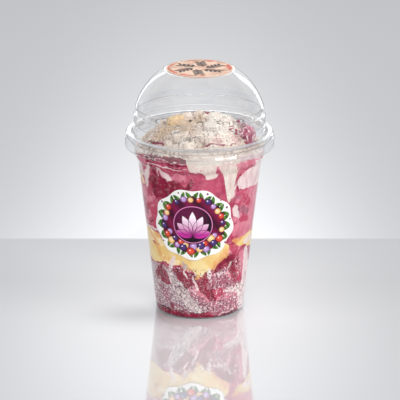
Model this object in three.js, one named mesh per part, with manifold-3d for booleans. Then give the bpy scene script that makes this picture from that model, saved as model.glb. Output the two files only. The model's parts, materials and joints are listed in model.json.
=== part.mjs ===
// A clear plastic cup of layered acai under a domed lid, with a heap of milk powder on top.
// Millimetres, +Z up. The origin is the middle of the cup's foot, on the table. The front
// looks along -Y, and a bearing is counted in degrees from the front towards +X.

import * as THREE from 'three';
import { mergeVertices } from 'three/addons/utils/BufferGeometryUtils.js';
import Module from 'manifold-3d';

const wasm = await Module();
wasm.setup();

// ---- driving dimensions -------------------------------------------------------------------

const ROUND = 40; // flats round every turned piece
const GAP = 0.3; // air between two pieces that lie on each other

const CUP_SHEET = 0.6; // thickness of the cup's wall
const FOOT = { radius: 30, ring: 1.5, inset: 1.1, pushUp: 2.6, bend: 1 }; // the ring it stands on
const WALL_FOOT = { radius: 30.05, z: 1.5 }; // the plain conical wall runs from here
const WALL_TOP = { radius: 41.9, z: 106.5 }; // to here
const SHOULDER = { radius: 43.8, z: 109 }; // the step that stacked cups rest on
const BAND_TOP = { radius: 44.8, z: 117 }; // top of the upright band over the shoulder
const MOUTH = { radius: 47.15, z: 120 }; // where the wall has flared out to the rim
const RIM = { radius: 49.5, top: 125.1, depth: 3, bend: 0.8 }; // the rolled rim

const LID_SHEET = 0.5; // thickness of the lid's wall
const SKIRT = { radius: 50.75, foot: 116.5, lip: 1.5, step: 0.45, stepZ: 2.6 }; // clips over the rim
const FLANGE = { top: 126, bend: 1.2 }; // flat ring of the lid that lies on the rim
const TROUGH = { depth: 2.9, shoulder: 1.6, lean: 0.3 }; // groove between flange and collar
const COLLAR = { radius: 44.9, top: 138.4, taper: 0.3 }; // upright wall inside the trough
const BEAD = { z: 131.4, deep: 0.5, half: 0.9 }; // fine groove round the collar
const NECK = { radius: 42.7, z: 139.9, round: 0.8 }; // the waist between collar and dome
const DOME = { radius: 43.9, offAxis: 1.4, z: 130.7, edge: 143.2, top: 168.6, steps: 6 };

const TOP_LABEL = { radius: 22.5, thick: 0.3 };
const FRONT_LABEL = {
  bearing: -7.1, z: 70.4, width: 59, height: 52.4, thick: 0.25, lobes: 9, lobe: 0.035, rings: 4,
};

// The seams between the layers. Each has its usual height at the wall, its height on the axis,
// and the swells and dips that show round the wall: [bearing, spread in degrees, rise].
const SEAMS = {
  heel: { wall: 5.4, middle: 6, swells: [[-48, 14, 1.2], [20, 16, -0.6], [62, 12, 0.9]] },
  powder: { wall: 27, middle: 24, swells: [[-56, 36, 10.5], [15, 21, -15.5], [50, 24, -5]] },
  acaiLower: {
    wall: 44, middle: 42,
    swells: [[-66, 26, -6.5], [4, 12, -12.5], [-12, 18, -4], [52, 22, 7], [-150, 40, -2]],
  },
  cream: {
    wall: 59, middle: 56,
    swells: [[-80, 11, 4], [-57, 17, -8.5], [0, 18, -2], [40, 15, -6], [170, 50, 3]],
  },
  acaiUpper: {
    wall: 116, middle: 119,
    swells: [[4, 13, -8], [26, 8, -38], [-40, 22, 1], [58, 16, -2], [-120, 30, -3]],
  },
};

const SEAM_RINGS = { count: 3, spare: 2 }; // a seam's rings, and how far it outreaches the cup

// The heap is a flattened dome with a crest behind its middle. Its foot stands off the wall.
const HEAP = { wall: 118, foot: 41, rise: 16.2, power: 0.6, x: 2, rings: 12, spread: 2 };
const CREST = { x: 14, y: 12, radius: 17, height: 2.2 };
const LUMPS = { count: 90, seed: 7, small: 3.2, large: 6.2, low: 0.7, high: 2.1 };
const ACAI_CHUNK = { x: 33, y: -8, z: 127, size: [5.4, 10, 6.2], turn: -14, seed: 3 };
const ROUGH = 0.22; // how uneven those two pieces are
const CAKED_LUMP = { x: -16, y: 1, z: 132.2, size: [6.4, 7.6, 3.8], turn: -20, seed: 5 };

// ---- helpers ------------------------------------------------------------------------------

const rad = THREE.MathUtils.degToRad;
const { lerp } = THREE.MathUtils;

/** A repeatable source of numbers from 0 to 1. */
function seeded(seed) {
  let state = seed >>> 0;
  return () => {
    state = (state + 0x6d2b79f5) >>> 0;
    let t = Math.imul(state ^ (state >>> 15), 1 | state);
    t = (t + Math.imul(t ^ (t >>> 7), 61 | t)) ^ t;
    return ((t ^ (t >>> 14)) >>> 0) / 2 ** 32;
  };
}

/** The shortest turn between two bearings, in degrees. */
const turnBetween = (a, b) => Math.abs(((a - b + 540) % 360) - 180);

/** Keeps only the places of the corners and joins those that coincide. */
function welded(geometry) {
  for (const name of ['normal', 'uv']) geometry.deleteAttribute(name);
  return mergeVertices(geometry, 1e-4);
}

/**
 * A closed skin turned from a profile of [radius, level] points. place, when given, moves each
 * corner: it takes radius, bearing in degrees, level, and the corner's x and y.
 */
function turned(profile, place) {
  const geometry = new THREE.LatheGeometry(profile.map(([r, z]) => new THREE.Vector2(r, z)), ROUND);
  geometry.rotateX(Math.PI / 2);
  if (place) {
    const corners = geometry.attributes.position;
    for (let i = 0; i < corners.count; i++) {
      const [x, y, level] = [corners.getX(i), corners.getY(i), corners.getZ(i)];
      const bearing = THREE.MathUtils.radToDeg(Math.atan2(x, -y));
      corners.setXYZ(i, ...place(Math.hypot(x, y), bearing, level, x, y));
    }
  }
  return welded(geometry);
}

/** The loop round both faces of a sheet of even thickness whose middle runs along path. */
function sheet(path, thick) {
  const half = thick / 2;
  const normals = path.slice(1).map(([r, z], i) => {
    const [dr, dz] = [r - path[i][0], z - path[i][1]];
    const length = Math.hypot(dr, dz);
    return [-dz / length, dr / length];
  });
  const offsets = path.map((_, i) => {
    const before = normals[Math.max(i - 1, 0)];
    const after = normals[Math.min(i, normals.length - 1)];
    const [nr, nz] = [before[0] + after[0], before[1] + after[1]];
    const mitre = 2 / (nr * nr + nz * nz); // keeps both neighbours' faces flat and parallel
    return [nr * mitre, nz * mitre];
  });
  const side = (sign) => path.map(([r, z], i) => [
    Math.max(r + sign * half * offsets[i][0], 0), z + sign * half * offsets[i][1],
  ]);
  return [...side(-1), ...side(1).reverse()]; // from the axis out below, and back above
}

/** The radius of a line of [radius, z] points at height z. */
function radiusOn(line, z) {
  const i = line.findIndex((point) => point[1] >= z);
  if (i < 1) return line[i < 0 ? line.length - 1 : 0][0];
  const [[r0, z0], [r1, z1]] = [line[i - 1], line[i]];
  return lerp(r0, r1, (z - z0) / (z1 - z0));
}

function toManifold(geometry) {
  return new wasm.Manifold(new wasm.Mesh({
    numProp: 3,
    vertProperties: new Float32Array(geometry.attributes.position.array),
    triVerts: new Uint32Array(geometry.index.array),
  }));
}

function fromManifold(solid) {
  const { vertProperties, triVerts } = solid.getMesh();
  const geometry = new THREE.BufferGeometry();
  geometry.setAttribute('position', new THREE.BufferAttribute(vertProperties, 3));
  geometry.setIndex(new THREE.BufferAttribute(triVerts, 1));
  return geometry;
}

// ---- cup ----------------------------------------------------------------------------------

const halfCup = CUP_SHEET / 2;

/** The middle of the cup's wall above its foot, which its contents follow. */
const wallPath = [WALL_FOOT, WALL_TOP, SHOULDER, BAND_TOP, MOUTH].map(
  ({ radius, z }) => [radius - halfCup, z],
);

function cupGeometry() {
  const floor = FOOT.pushUp + halfCup;
  const ringOut = FOOT.radius - FOOT.inset;
  const ringIn = ringOut - FOOT.ring;
  const rimIn = MOUTH.radius - halfCup;
  const rimOut = RIM.radius - halfCup;
  const rimTop = RIM.top - halfCup;
  const rimFoot = rimTop - RIM.depth;
  return turned(sheet([
    [0, floor],
    [ringIn - FOOT.bend, floor],
    [ringIn, halfCup],
    [ringOut, halfCup],
    ...wallPath,
    [rimIn, rimTop - RIM.bend],
    [rimIn + RIM.bend, rimTop],
    [rimOut - RIM.bend, rimTop],
    [rimOut, rimTop - RIM.bend],
    [rimOut, rimFoot + RIM.bend],
    [rimOut - RIM.bend / 2, rimFoot],
  ], CUP_SHEET));
}

/** The radius that the contents reach at height z, a gap inside the cup's wall. */
const insideCup = (z) => radiusOn(wallPath, z) - halfCup - GAP;
const CUP_FLOOR = FOOT.pushUp + CUP_SHEET + GAP;

// ---- lid ----------------------------------------------------------------------------------

/** The middle of the dome's sheet, from its flat top down to its moulded edge. */
function domePath() {
  const middle = DOME.radius - LID_SHEET / 2;
  const angleAt = (z) => Math.asin((z - DOME.z) / middle);
  const [top, edge] = [angleAt(DOME.top - LID_SHEET / 2), angleAt(DOME.edge)];
  return Array.from({ length: DOME.steps + 1 }, (_, i) => {
    const angle = lerp(top, edge, i / DOME.steps);
    return [DOME.offAxis + middle * Math.cos(angle), DOME.z + middle * Math.sin(angle)];
  });
}

/** The lid's collar, with a fine bead, from its top down into the trough. */
function collarPath() {
  const foot = COLLAR.radius - LID_SHEET / 2;
  const top = foot - COLLAR.taper;
  return [
    [top, COLLAR.top - LID_SHEET / 2],
    [top, BEAD.z + BEAD.half],
    [top - BEAD.deep, BEAD.z],
    [(top + foot) / 2, BEAD.z - BEAD.half],
    [foot, FLANGE.top - TROUGH.shoulder],
  ];
}

function lidGeometry() {
  const half = LID_SHEET / 2;
  const neck = NECK.radius - half;
  const troughIn = COLLAR.radius - half;
  const troughOut = MOUTH.radius - CUP_SHEET - GAP - half;
  const flange = FLANGE.top - half;
  const skirt = SKIRT.radius - half;
  return turned(sheet([
    [0, DOME.top - half],
    ...domePath(),
    [neck, NECK.z],
    [neck + NECK.round / 2, NECK.z - NECK.round],
    ...collarPath(),
    [(troughIn + troughOut) / 2, flange - TROUGH.depth],
    [troughOut, FLANGE.top - TROUGH.shoulder],
    [troughOut + TROUGH.lean, flange],
    [skirt - FLANGE.bend, flange],
    [skirt - SKIRT.step, flange - FLANGE.bend],
    [skirt - SKIRT.step, flange - SKIRT.stepZ],
    [skirt - SKIRT.step / 3, flange - SKIRT.stepZ - SKIRT.step],
    [skirt - SKIRT.step / 3, SKIRT.foot + SKIRT.lip],
    [skirt, SKIRT.foot],
  ], LID_SHEET));
}

// ---- contents -----------------------------------------------------------------------------

/** The height of a seam at a share of the way from the axis to the wall. */
function seamHeight(seam, share, bearing) {
  const atWall = seam.swells.reduce(
    (sum, [at, spread, rise]) => sum + rise * Math.exp(-((turnBetween(bearing, at) / spread) ** 2)),
    seam.wall,
  );
  return lerp(seam.middle, atWall, share ** 2);
}

/** Rings of a disc, from the axis out or from the wall in, as shares of the radius. */
const ringsOut = (count) => Array.from({ length: count + 1 }, (_, i) => i / count);
const ringsIn = (count) => ringsOut(count).reverse();

/** The room for the contents: inside the cup, and above it inside the lid's collar. */
const room = (() => {
  const heights = [CUP_FLOOR, ...wallPath.slice(1).map((point) => point[1])];
  const collar = COLLAR.radius - COLLAR.taper - LID_SHEET - BEAD.deep - GAP;
  return toManifold(turned([
    [0, CUP_FLOOR],
    ...heights.map((z) => [insideCup(z), z]),
    [collar, MOUTH.z + GAP],
    [collar, COLLAR.top],
    [0, COLLAR.top],
  ]));
})();

/** Everything under a seam, lifted or lowered a little, and wider than the cup. */
function under(seam, lift) {
  const radius = insideCup(seam.wall) + SEAM_RINGS.spare;
  const profile = [[0, 0], [1, 0], ...ringsIn(SEAM_RINGS.count).map((share) => [share, 1])];
  return toManifold(turned(profile, (share, bearing, level, sx, sy) => {
    const z = level > 0.5 ? seamHeight(seam, share, bearing) + lift : 0;
    return [sx * radius, sy * radius, z];
  }));
}

/** A layer that fills the cup between two seams, or up from its floor. */
function layer(floor, roof) {
  let solid = under(roof, -GAP / 2).intersect(room);
  if (floor) solid = solid.subtract(under(floor, GAP / 2));
  return fromManifold(solid);
}

// ---- topping ------------------------------------------------------------------------------

/** Soft lumps of caked powder, spread evenly over the heap in a sunflower's spiral. */
const lumps = (() => {
  const random = seeded(LUMPS.seed);
  const goldenAngle = Math.PI * (3 - Math.sqrt(5));
  const sunk = { share: 0.3, height: -0.7 }; // some lumps are hollows instead
  return Array.from({ length: LUMPS.count }, (_, i) => {
    const reach = HEAP.foot * Math.sqrt((i + 0.5) / LUMPS.count);
    const angle = i * goldenAngle + (random() - 0.5) / 2;
    return {
      x: reach * Math.sin(angle),
      y: -reach * Math.cos(angle),
      radius: lerp(LUMPS.small, LUMPS.large, random()),
      height: lerp(LUMPS.low, LUMPS.high, random()) * (random() < sunk.share ? sunk.height : 1),
    };
  });
})();

/** The height that a soft lump adds over a point. */
function lumpAt(lump, x, y) {
  const near = Math.hypot(x - lump.x, y - lump.y) / lump.radius;
  return near < 1 ? lump.height * (1 - near ** 2) ** 2 : 0;
}

/** The heap's top over a point. The dome's middle is off the axis, but its foot isn't. */
function heapTop(x, y) {
  const inside = 1 - Math.min(Math.hypot(x, y) / HEAP.foot, 1);
  const out = Math.min(Math.hypot(x - HEAP.x * inside, y) / HEAP.foot, 1);
  const dome = HEAP.rise * (1 - out ** 2) ** HEAP.power;
  const relief = lumps.reduce((sum, lump) => sum + lumpAt(lump, x, y), 0);
  const fade = Math.min(1, inside * HEAP.foot / LUMPS.large); // no lumps hang over the edge
  return HEAP.wall + dome + lumpAt(CREST, x, y) + relief * fade;
}

function heapGeometry(lift = 0) {
  const wall = insideCup(HEAP.wall);
  const profile = [[0, 0], [1, 0], ...ringsIn(HEAP.rings).map((share) => [share, 1])];
  const wide = turned(profile, (share, bearing, level, sx, sy) => {
    const [x, y] = [sx * wall, sy * wall];
    const spread = 1 + (HEAP.spread / wall) * share ** 4;
    return [x * spread, y * spread, level > 0.5 ? heapTop(x, y) + lift : SEAMS.cream.wall];
  });
  const heap = toManifold(wide).intersect(room).subtract(under(SEAMS.acaiUpper, GAP / 2));
  return fromManifold(heap);
}

/** A rough piece that lies on the heap: an uneven ball, with its foot cut to the heap. */
function chunkGeometry({ x, y, z, size, turn, seed }) {
  const ball = welded(new THREE.IcosahedronGeometry(1, 2));
  const random = seeded(seed);
  const corners = ball.attributes.position;
  for (let i = 0; i < corners.count; i++) {
    const out = 1 + ROUGH * (random() - 0.5);
    corners.setXYZ(i, corners.getX(i) * out, corners.getY(i) * out, corners.getZ(i) * out);
  }
  ball.scale(...size).rotateZ(rad(turn)).translate(x, y, z);
  return fromManifold(toManifold(ball).subtract(toManifold(heapGeometry(GAP))));
}

// ---- labels -------------------------------------------------------------------------------

/** A disc that lies on the dome's flat top. */
function topLabelGeometry() {
  const { radius, thick } = TOP_LABEL;
  const z = DOME.top + GAP;
  return turned([[0, z], [radius, z], [radius, z + thick], [0, z + thick]]);
}

/** A lobed badge wrapped round the front of the cup, a gap off its wall. */
function frontLabelGeometry() {
  const { bearing, z, width, height, thick, lobes, lobe, rings } = FRONT_LABEL;
  const profile = [
    ...ringsOut(rings).map((share) => [share, 0]),
    ...ringsIn(rings).map((share) => [share, 1]),
  ];
  return turned(profile, (share, turn, level, sx, sy) => {
    const reach = (1 + lobe * Math.cos(rad(turn) * lobes)) / (1 + lobe) / 2;
    const up = z + sy * height * reach;
    const wall = radiusOn(wallPath, up) + halfCup;
    const angle = rad(bearing) + (sx * width * reach) / wall;
    const radius = wall + GAP + level * thick;
    return [radius * Math.sin(angle), -radius * Math.cos(angle), up];
  });
}

// ---- the object ---------------------------------------------------------------------------

function piece(name, geometry, color, roughness, opacity = 1) {
  const material = new THREE.MeshStandardMaterial({
    color, roughness, metalness: 0, opacity, transparent: opacity < 1,
  });
  const mesh = new THREE.Mesh(geometry, material);
  mesh.name = name;
  return mesh;
}

const cup = new THREE.Group();
cup.add(
  piece('cup', cupGeometry(), '#eef1f3', 0.06, 0.3),
  piece('dome_lid', lidGeometry(), '#eef1f3', 0.06, 0.3),
  piece('acai_heel', layer(null, SEAMS.heel), '#7a1f3f', 0.45),
  piece('powder_layer', layer(SEAMS.heel, SEAMS.powder), '#c3a6ab', 0.8),
  piece('acai_lower', layer(SEAMS.powder, SEAMS.acaiLower), '#96244a', 0.45),
  piece('cream_layer', layer(SEAMS.acaiLower, SEAMS.cream), '#eccb78', 0.5),
  piece('acai_upper', layer(SEAMS.cream, SEAMS.acaiUpper), '#b84a6b', 0.45),
  piece('powder_heap', heapGeometry(), '#e6d6c2', 0.85),
  piece('acai_chunk', chunkGeometry(ACAI_CHUNK), '#a93a63', 0.5),
  piece('caked_lump', chunkGeometry(CAKED_LUMP), '#e2bd84', 0.75),
  piece('top_label', topLabelGeometry(), '#dba67e', 0.5),
  piece('front_label', frontLabelGeometry(), '#f0edea', 0.35),
);

export default cup;
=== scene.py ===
# %% [markdown]
# # A lidded cup of layered acai
#
# The real thing is a clear plastic cup, pressed from one sheet, that was filled by the spoon:
# frozen acai, yellow cream and milk powder in uneven layers, with a heap of powder on top and a
# clear domed lid clipped over the rim. Its solids are already modelled to size. This lesson gives
# them their looks: thin glossy plastic, smears and grains pressed against the wall, a crumbly
# heap, and two printed labels.
#
# The solids are loaded first, because every new piece takes its place from them.

# %% Load the cup's solids
import json
import math

import bpy
import numpy as np
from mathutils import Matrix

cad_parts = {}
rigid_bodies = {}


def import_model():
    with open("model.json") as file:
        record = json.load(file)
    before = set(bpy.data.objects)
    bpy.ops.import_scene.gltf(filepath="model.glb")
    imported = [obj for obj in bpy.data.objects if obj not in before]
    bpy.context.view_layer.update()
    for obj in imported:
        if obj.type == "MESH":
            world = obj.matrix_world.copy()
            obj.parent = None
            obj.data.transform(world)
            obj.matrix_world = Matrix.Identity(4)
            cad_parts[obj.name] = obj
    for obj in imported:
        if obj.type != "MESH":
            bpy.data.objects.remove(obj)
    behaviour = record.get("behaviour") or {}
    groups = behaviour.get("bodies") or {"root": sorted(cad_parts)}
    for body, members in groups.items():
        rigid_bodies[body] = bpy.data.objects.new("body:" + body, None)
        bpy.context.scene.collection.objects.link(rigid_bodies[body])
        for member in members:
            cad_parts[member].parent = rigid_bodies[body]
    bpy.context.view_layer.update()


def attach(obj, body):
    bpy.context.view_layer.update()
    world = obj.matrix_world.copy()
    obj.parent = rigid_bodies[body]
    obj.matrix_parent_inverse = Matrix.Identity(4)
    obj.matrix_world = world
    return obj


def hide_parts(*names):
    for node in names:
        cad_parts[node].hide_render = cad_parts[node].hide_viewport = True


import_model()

MM = 0.001  # this lesson works in millimetres and hands Blender metres

# %% [markdown]
# ## Where the camera stands
#
# The photo looks down on the cup by about 18 degrees from nearly two metres away, through a long
# lens. A long lens keeps the ellipses of the lid and the foot almost alike, which a close, wide
# view would not. The camera aims a quarter of a millimetre beside the axis, as the photo does.

# %% Set up the camera
AIM = np.array([0.25, 0.0, 75.9])  # mm
ELEVATION = math.radians(17.7)
DISTANCE = 1900.0  # mm
LENS = 250.5  # mm, on a sensor 36 mm wide


def aim_camera():
    """A camera DISTANCE away from AIM, straight in front and raised by ELEVATION."""
    back = np.array([0.0, -math.cos(ELEVATION), math.sin(ELEVATION)])
    lens = bpy.data.cameras.new("photo_camera")
    lens.lens, lens.sensor_width = LENS, 36.0
    lens.clip_start, lens.clip_end = 0.01, 50.0
    camera = bpy.data.objects.new("photo_camera", lens)
    camera.location = (AIM + back * DISTANCE) * MM
    camera.rotation_euler = (math.pi / 2 - ELEVATION, 0.0, 0.0)
    bpy.context.scene.collection.objects.link(camera)
    return camera


bpy.context.scene.camera = aim_camera()
bpy.context.scene.view_settings.view_transform = "Standard"
print("camera at", [round(v, 3) for v in bpy.context.scene.camera.location])

# %% [markdown]
# ## Writing materials as sums
#
# A material here is mostly arithmetic: this mask times that noise, one minus the rest. Drawn by
# hand that is a web of Math nodes. Instead a small class holds one output socket and knows what
# plus, minus and times mean, so that the sum is read as a sum and builds its own nodes. Colours
# go through Mix nodes, because a Math node would turn them grey.

# %% Sockets that add and multiply


class Wire:
    """One output of a node. Sums of wires and numbers add Math nodes."""

    def __init__(self, finish, socket):
        self.finish, self.socket = finish, socket

    def maths(self, operation, first, second=0.0):
        return self.finish.node("ShaderNodeMath", {"operation": operation}, {0: first, 1: second})

    def __add__(self, other):
        return self.maths("ADD", self, other)

    def __sub__(self, other):
        return self.maths("SUBTRACT", self, other)

    def __rsub__(self, other):
        return self.maths("SUBTRACT", other, self)

    def __mul__(self, other):
        return self.maths("MULTIPLY", self, other)

    def __truediv__(self, other):
        return self.maths("DIVIDE", self, other)

    def __pow__(self, other):
        return self.maths("POWER", self, other)

    __radd__, __rmul__ = __add__, __mul__

    def exp(self):
        return self.maths("EXPONENT", self)

    def step(self, low, high):
        """0 below low, 1 above high and a smooth slope between them."""
        settings = {"interpolation_type": "SMOOTHSTEP"}
        return self.finish.node("ShaderNodeMapRange", settings, {0: self, 1: low, 2: high})


class Finish:
    """The nodes of a material, or of the world, under construction."""

    def __init__(self, owner):
        self.owner = bpy.data.materials.new(owner) if isinstance(owner, str) else owner
        self.owner.use_nodes = True
        self.tree = self.owner.node_tree
        self.tree.nodes.clear()

    def node(self, kind, settings=None, sockets=None, output=0):
        """A new node: its settings first, then the values or wires of its sockets."""
        made = self.tree.nodes.new(kind)
        for name, value in (settings or {}).items():
            setattr(made, name, value)
        for name, value in (sockets or {}).items():
            if isinstance(value, Wire):
                self.tree.links.new(value.socket, made.inputs[name])
            else:
                made.inputs[name].default_value = value
        return Wire(self, made.outputs[output]) if made.outputs else None

    def place(self):
        """The point on the piece, in the frame's own metres."""
        return self.node("ShaderNodeTexCoord", output="Object")

    def parts(self, vector):
        """A vector's x, y and z."""
        x = self.node("ShaderNodeSeparateXYZ", {}, {0: vector})
        return [Wire(self, socket) for socket in x.socket.node.outputs]

    def painted(self, name):
        """A value that was worked out for every corner of the piece."""
        return self.node("ShaderNodeAttribute", {"attribute_name": name}, output="Fac")

    def noise(self, size_mm, detail=2.0, rough=0.5, at=None):
        """Cloudy noise from 0 to 1, with patches about size_mm across."""
        sockets = {"Vector": at or self.place(), "Scale": 1 / (size_mm * MM)}
        return self.node("ShaderNodeTexNoise", {}, {**sockets, "Detail": detail, "Roughness": rough})

    def mix(self, under, over, mask):
        """The colour under, covered by the colour over where the mask is 1."""
        return self.node("ShaderNodeMix", {"data_type": "RGBA"}, {0: mask, 6: under, 7: over}, 2)

    def coats(self, colour, *coats):
        """A colour under coats of (colour, mask), laid on one after another."""
        for over, mask in coats:
            colour = self.mix(colour, over, mask)
        return colour

    def bump(self, strength, depth_mm, height):
        """Relief too fine to model, which only the light feels."""
        sockets = {"Strength": strength, "Distance": depth_mm * MM, "Height": height}
        return self.node("ShaderNodeBump", {}, sockets)

    def surface(self, sockets):
        """Ends a material in the all-round Principled shader with these sockets."""
        return self.finished(self.node("ShaderNodeBsdfPrincipled", {}, sockets))

    def finished(self, shader, output="ShaderNodeOutputMaterial"):
        """Ends the tree in its output and gives back the material or world."""
        self.node(output, {}, {"Surface": shader})
        print(self.owner.name, "has", len(self.tree.nodes), "nodes")
        return self.owner


def tone(red, green, blue):
    """A colour as a screen shows it, 0 to 255, turned into light: ((c + 0.055) / 1.055) ^ 2.4."""
    shares = [value / 255 for value in (red, green, blue)]
    return (*[s / 12.92 if s < 0.04045 else ((s + 0.055) / 1.055) ** 2.4 for s in shares], 1.0)


# %% [markdown]
# ## Whole surfaces from arrays
#
# Cup, lid, layers and heap are all closed skins round the same axis, so one builder serves them
# all. A skin is a grid of points: each row goes once round the axis, and the rows run from the
# axis below, out and up the side, and back to the axis on top. Its first and last rows shrink to
# one point each, which closes the poles. A bearing is counted from the front towards +X.

# %% The skin builder


def flat_rows(grid):
    """A grid's values in one list, with its first and its last row averaged to one value each."""
    ends = [grid[:1].mean(axis=1), grid[-1:].mean(axis=1)]
    return np.concatenate([ends[0], grid[1:-1].reshape(-1, *grid.shape[2:]), ends[1]])


def skin_faces(rows, columns):
    """Corner numbers of the squares between the rows and of the two fans round the poles."""
    ring = np.arange(columns)
    turn = np.stack([ring, np.roll(ring, -1)], axis=1)
    starts = 1 + columns * np.arange(rows - 3)[:, None, None]
    low, high = turn[None] + starts, turn[None, :, ::-1] + starts + columns
    squares = np.concatenate([low, high], axis=2).reshape(-1, 4)
    last = 1 + columns * (rows - 2)
    foot = np.stack([np.zeros_like(ring), turn[:, 1] + 1, turn[:, 0] + 1], axis=1)
    top = np.stack([turn[:, 0], turn[:, 1], np.full_like(ring, columns)], axis=1)
    return squares, np.concatenate([foot, top + last - columns])


def mesh_piece(name, points, faces, values=None):
    """A new smooth object from corners in mm, arrays of faces and named values for each corner."""
    mesh = bpy.data.meshes.new(name)
    mesh.vertices.add(len(points))
    mesh.vertices.foreach_set("co", (points * MM).astype(np.float32).ravel())
    sizes = np.concatenate([np.full(len(part), part.shape[1]) for part in faces])
    mesh.loops.add(int(sizes.sum()))
    mesh.loops.foreach_set("vertex_index", np.concatenate([p.ravel() for p in faces]).astype(np.int32))
    mesh.polygons.add(len(sizes))
    mesh.polygons.foreach_set("loop_start", (np.cumsum(sizes) - sizes).astype(np.int32))
    mesh.update(calc_edges=True)
    mesh.polygons.foreach_set("use_smooth", np.ones(len(sizes), bool))
    for key, value in (values or {}).items():
        layer = mesh.attributes.new(key, "FLOAT", "POINT")
        layer.data.foreach_set("value", value.astype(np.float32))
    piece = bpy.data.objects.new(name, mesh)
    bpy.context.scene.collection.objects.link(piece)
    print(name, "has", int((sizes - 2).sum()), "triangles")
    return piece


def skin_piece(name, grid, values=None):
    """A closed skin from a grid of points, and grids of values for its corners."""
    rows, columns = grid.shape[:2]
    values = {key: flat_rows(value) for key, value in (values or {}).items()}
    return mesh_piece(name, flat_rows(grid), skin_faces(rows, columns), values)


def bearings(columns):
    """Evenly spaced bearings round the axis, in radians."""
    return np.linspace(-math.pi, math.pi, columns, endpoint=False)


def round_axis(radius, bearing, height):
    """Points at these radii, bearings and heights: x = r sin b and y = -r cos b."""
    radius, bearing, height = np.broadcast_arrays(radius, bearing, height)
    return np.stack([radius * np.sin(bearing), -radius * np.cos(bearing), height], axis=-1)


def dress(piece, material, slot, *nodes):
    """Gives a piece its material and its place in the cup."""
    piece.data.materials.append(material)
    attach(piece, "root")
    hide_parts(*nodes)


# %% [markdown]
# ## Noise that stays put
#
# Real powder and pulp are uneven at every size. Noise made from a lattice of mixed whole numbers
# gives hills and hollows that are the same on every run, and, since it is read at points in
# space, it has no seam round the back of the cup.

# %% Lattice noise


def lattice_number(cell, seed):
    """A fixed number from 0 to 1 for each cell: its coordinates times large odd numbers, mixed."""
    mixed = (cell * np.array([374761393, 668265263, 1103515245])).sum(axis=-1) + seed * 974711
    mixed = (mixed ^ (mixed >> 13)) & 0xFFFFFFFF
    mixed = (mixed * 1274126177) & 0xFFFFFFFF
    return ((mixed ^ (mixed >> 16)) & 0xFFFFFF) / 0xFFFFFF


def hills(points, size, seed):
    """Soft hills about size mm across, from -1 to 1.

    A point takes the numbers of its cell's eight corners, each weighted by the product of
    3t^2 - 2t^3 along the three sides.
    """
    place = np.asarray(points) / size
    cell = np.floor(place).astype(np.int64)
    t = place - cell
    t = t * t * (3 - 2 * t)
    total = 0.0
    for corner in np.ndindex(2, 2, 2):
        weight = np.where(np.array(corner, bool), t, 1 - t).prod(axis=-1)
        total = total + weight * lattice_number(cell + corner, seed)
    return 2 * total - 1


def rough_hills(points, size, seed, octaves=3):
    """Hills with smaller hills on them: each octave is half as wide and about half as high."""
    return sum(hills(points, size / 2**i, seed + i) * 0.55**i for i in range(octaves))


print("noise at the foot:", hills(np.zeros((1, 3)), 3.0, 1).round(3))

# %% [markdown]
# ## The floor
#
# The cup stands on pale glossy acrylic that mirrors it, and past the table's far edge a backdrop
# glows behind it. One wide floor does for both. Its tones hold a painted glow of light and a
# painted shadow beside the foot, so that it stays a plain pale floor from every side. A glossy
# share of about two fifths gives the mirror image its strength.

# %% Lay the floor
TABLE_EDGE = 0.143  # m behind the cup
PLAIN, FAR = 0.285, 0.6  # the floor's tone away from the glow, and out past the photo's frame
# The painted glow's middle and spread in metres, its strength on the table and behind it, and
# from where and over what distance it fades there. Then the painted shadow's middle, spread and
# strength.
PAINTED_GLOW = {"x": -0.008, "width": 0.11, "y": -0.05, "depth": 0.22, "table": 0.575,
        "behind": 0.87, "start": 0.15, "fade": 0.33}
PAINTED_SHADOW = {"x": -0.042, "width": 0.032, "y": -0.021, "depth": 0.019, "dark": 0.45}
MIRROR = 0.42  # the glossy share


def bell(value, middle, width):
    """1 at the middle, and to its sides exp(-((value - middle) / width)^2)."""
    return (((value - middle) / width) ** 2 * -1).exp()


def floor_material():
    """Pale grey with a soft painted glow of light. Sideways the glow falls off as a bell, behind the
    table as exp(-distance / fade) and on it as a wide bell. Farther out than the camera's frame,
    the floor brightens again, so that every side of the cup has a pale one. A soft painted shadow
    lies left of the foot, on the side away from the stronger light."""
    finish = Finish("pale_acrylic")
    x, y, _ = finish.parts(finish.place())
    # painted glow of light: a bell sideways, a pool on the table and a fade behind its edge
    side = bell(x, PAINTED_GLOW["x"], PAINTED_GLOW["width"])
    table = PLAIN + side * PAINTED_GLOW["table"] * bell(y, PAINTED_GLOW["y"], PAINTED_GLOW["depth"])
    behind = PLAIN + side * PAINTED_GLOW["behind"] * ((y - PAINTED_GLOW["start"]) / -PAINTED_GLOW["fade"]).exp()
    level = table + (behind - table) * y.step(TABLE_EDGE - 0.002, TABLE_EDGE + 0.004)
    far = x.maths("ABSOLUTE", x).step(0.24, 0.8) + y.step(0.95, 1.6) + y.step(-0.42, -0.95)
    level = level + (FAR - level) * far.step(0.0, 1.0)
    # painted shadow left of the foot, darkening the tone
    shade = bell(x, PAINTED_SHADOW["x"], PAINTED_SHADOW["width"]) * bell(y, PAINTED_SHADOW["y"], PAINTED_SHADOW["depth"])
    level = level * (1 - shade * PAINTED_SHADOW["dark"])
    colour = finish.mix((0.0, 0.0, 0.0, 1.0), (0.985, 0.985, 1.0, 1.0), level)
    matt = finish.node("ShaderNodeBsdfDiffuse", {}, {"Color": colour})
    gloss = finish.node("ShaderNodeBsdfGlossy", {}, {"Color": (1.0, 1.0, 1.0, 1.0), "Roughness": 0.006})
    return finish.finished(finish.node("ShaderNodeMixShader", {}, {0: MIRROR, 1: matt, 2: gloss}))


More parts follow.
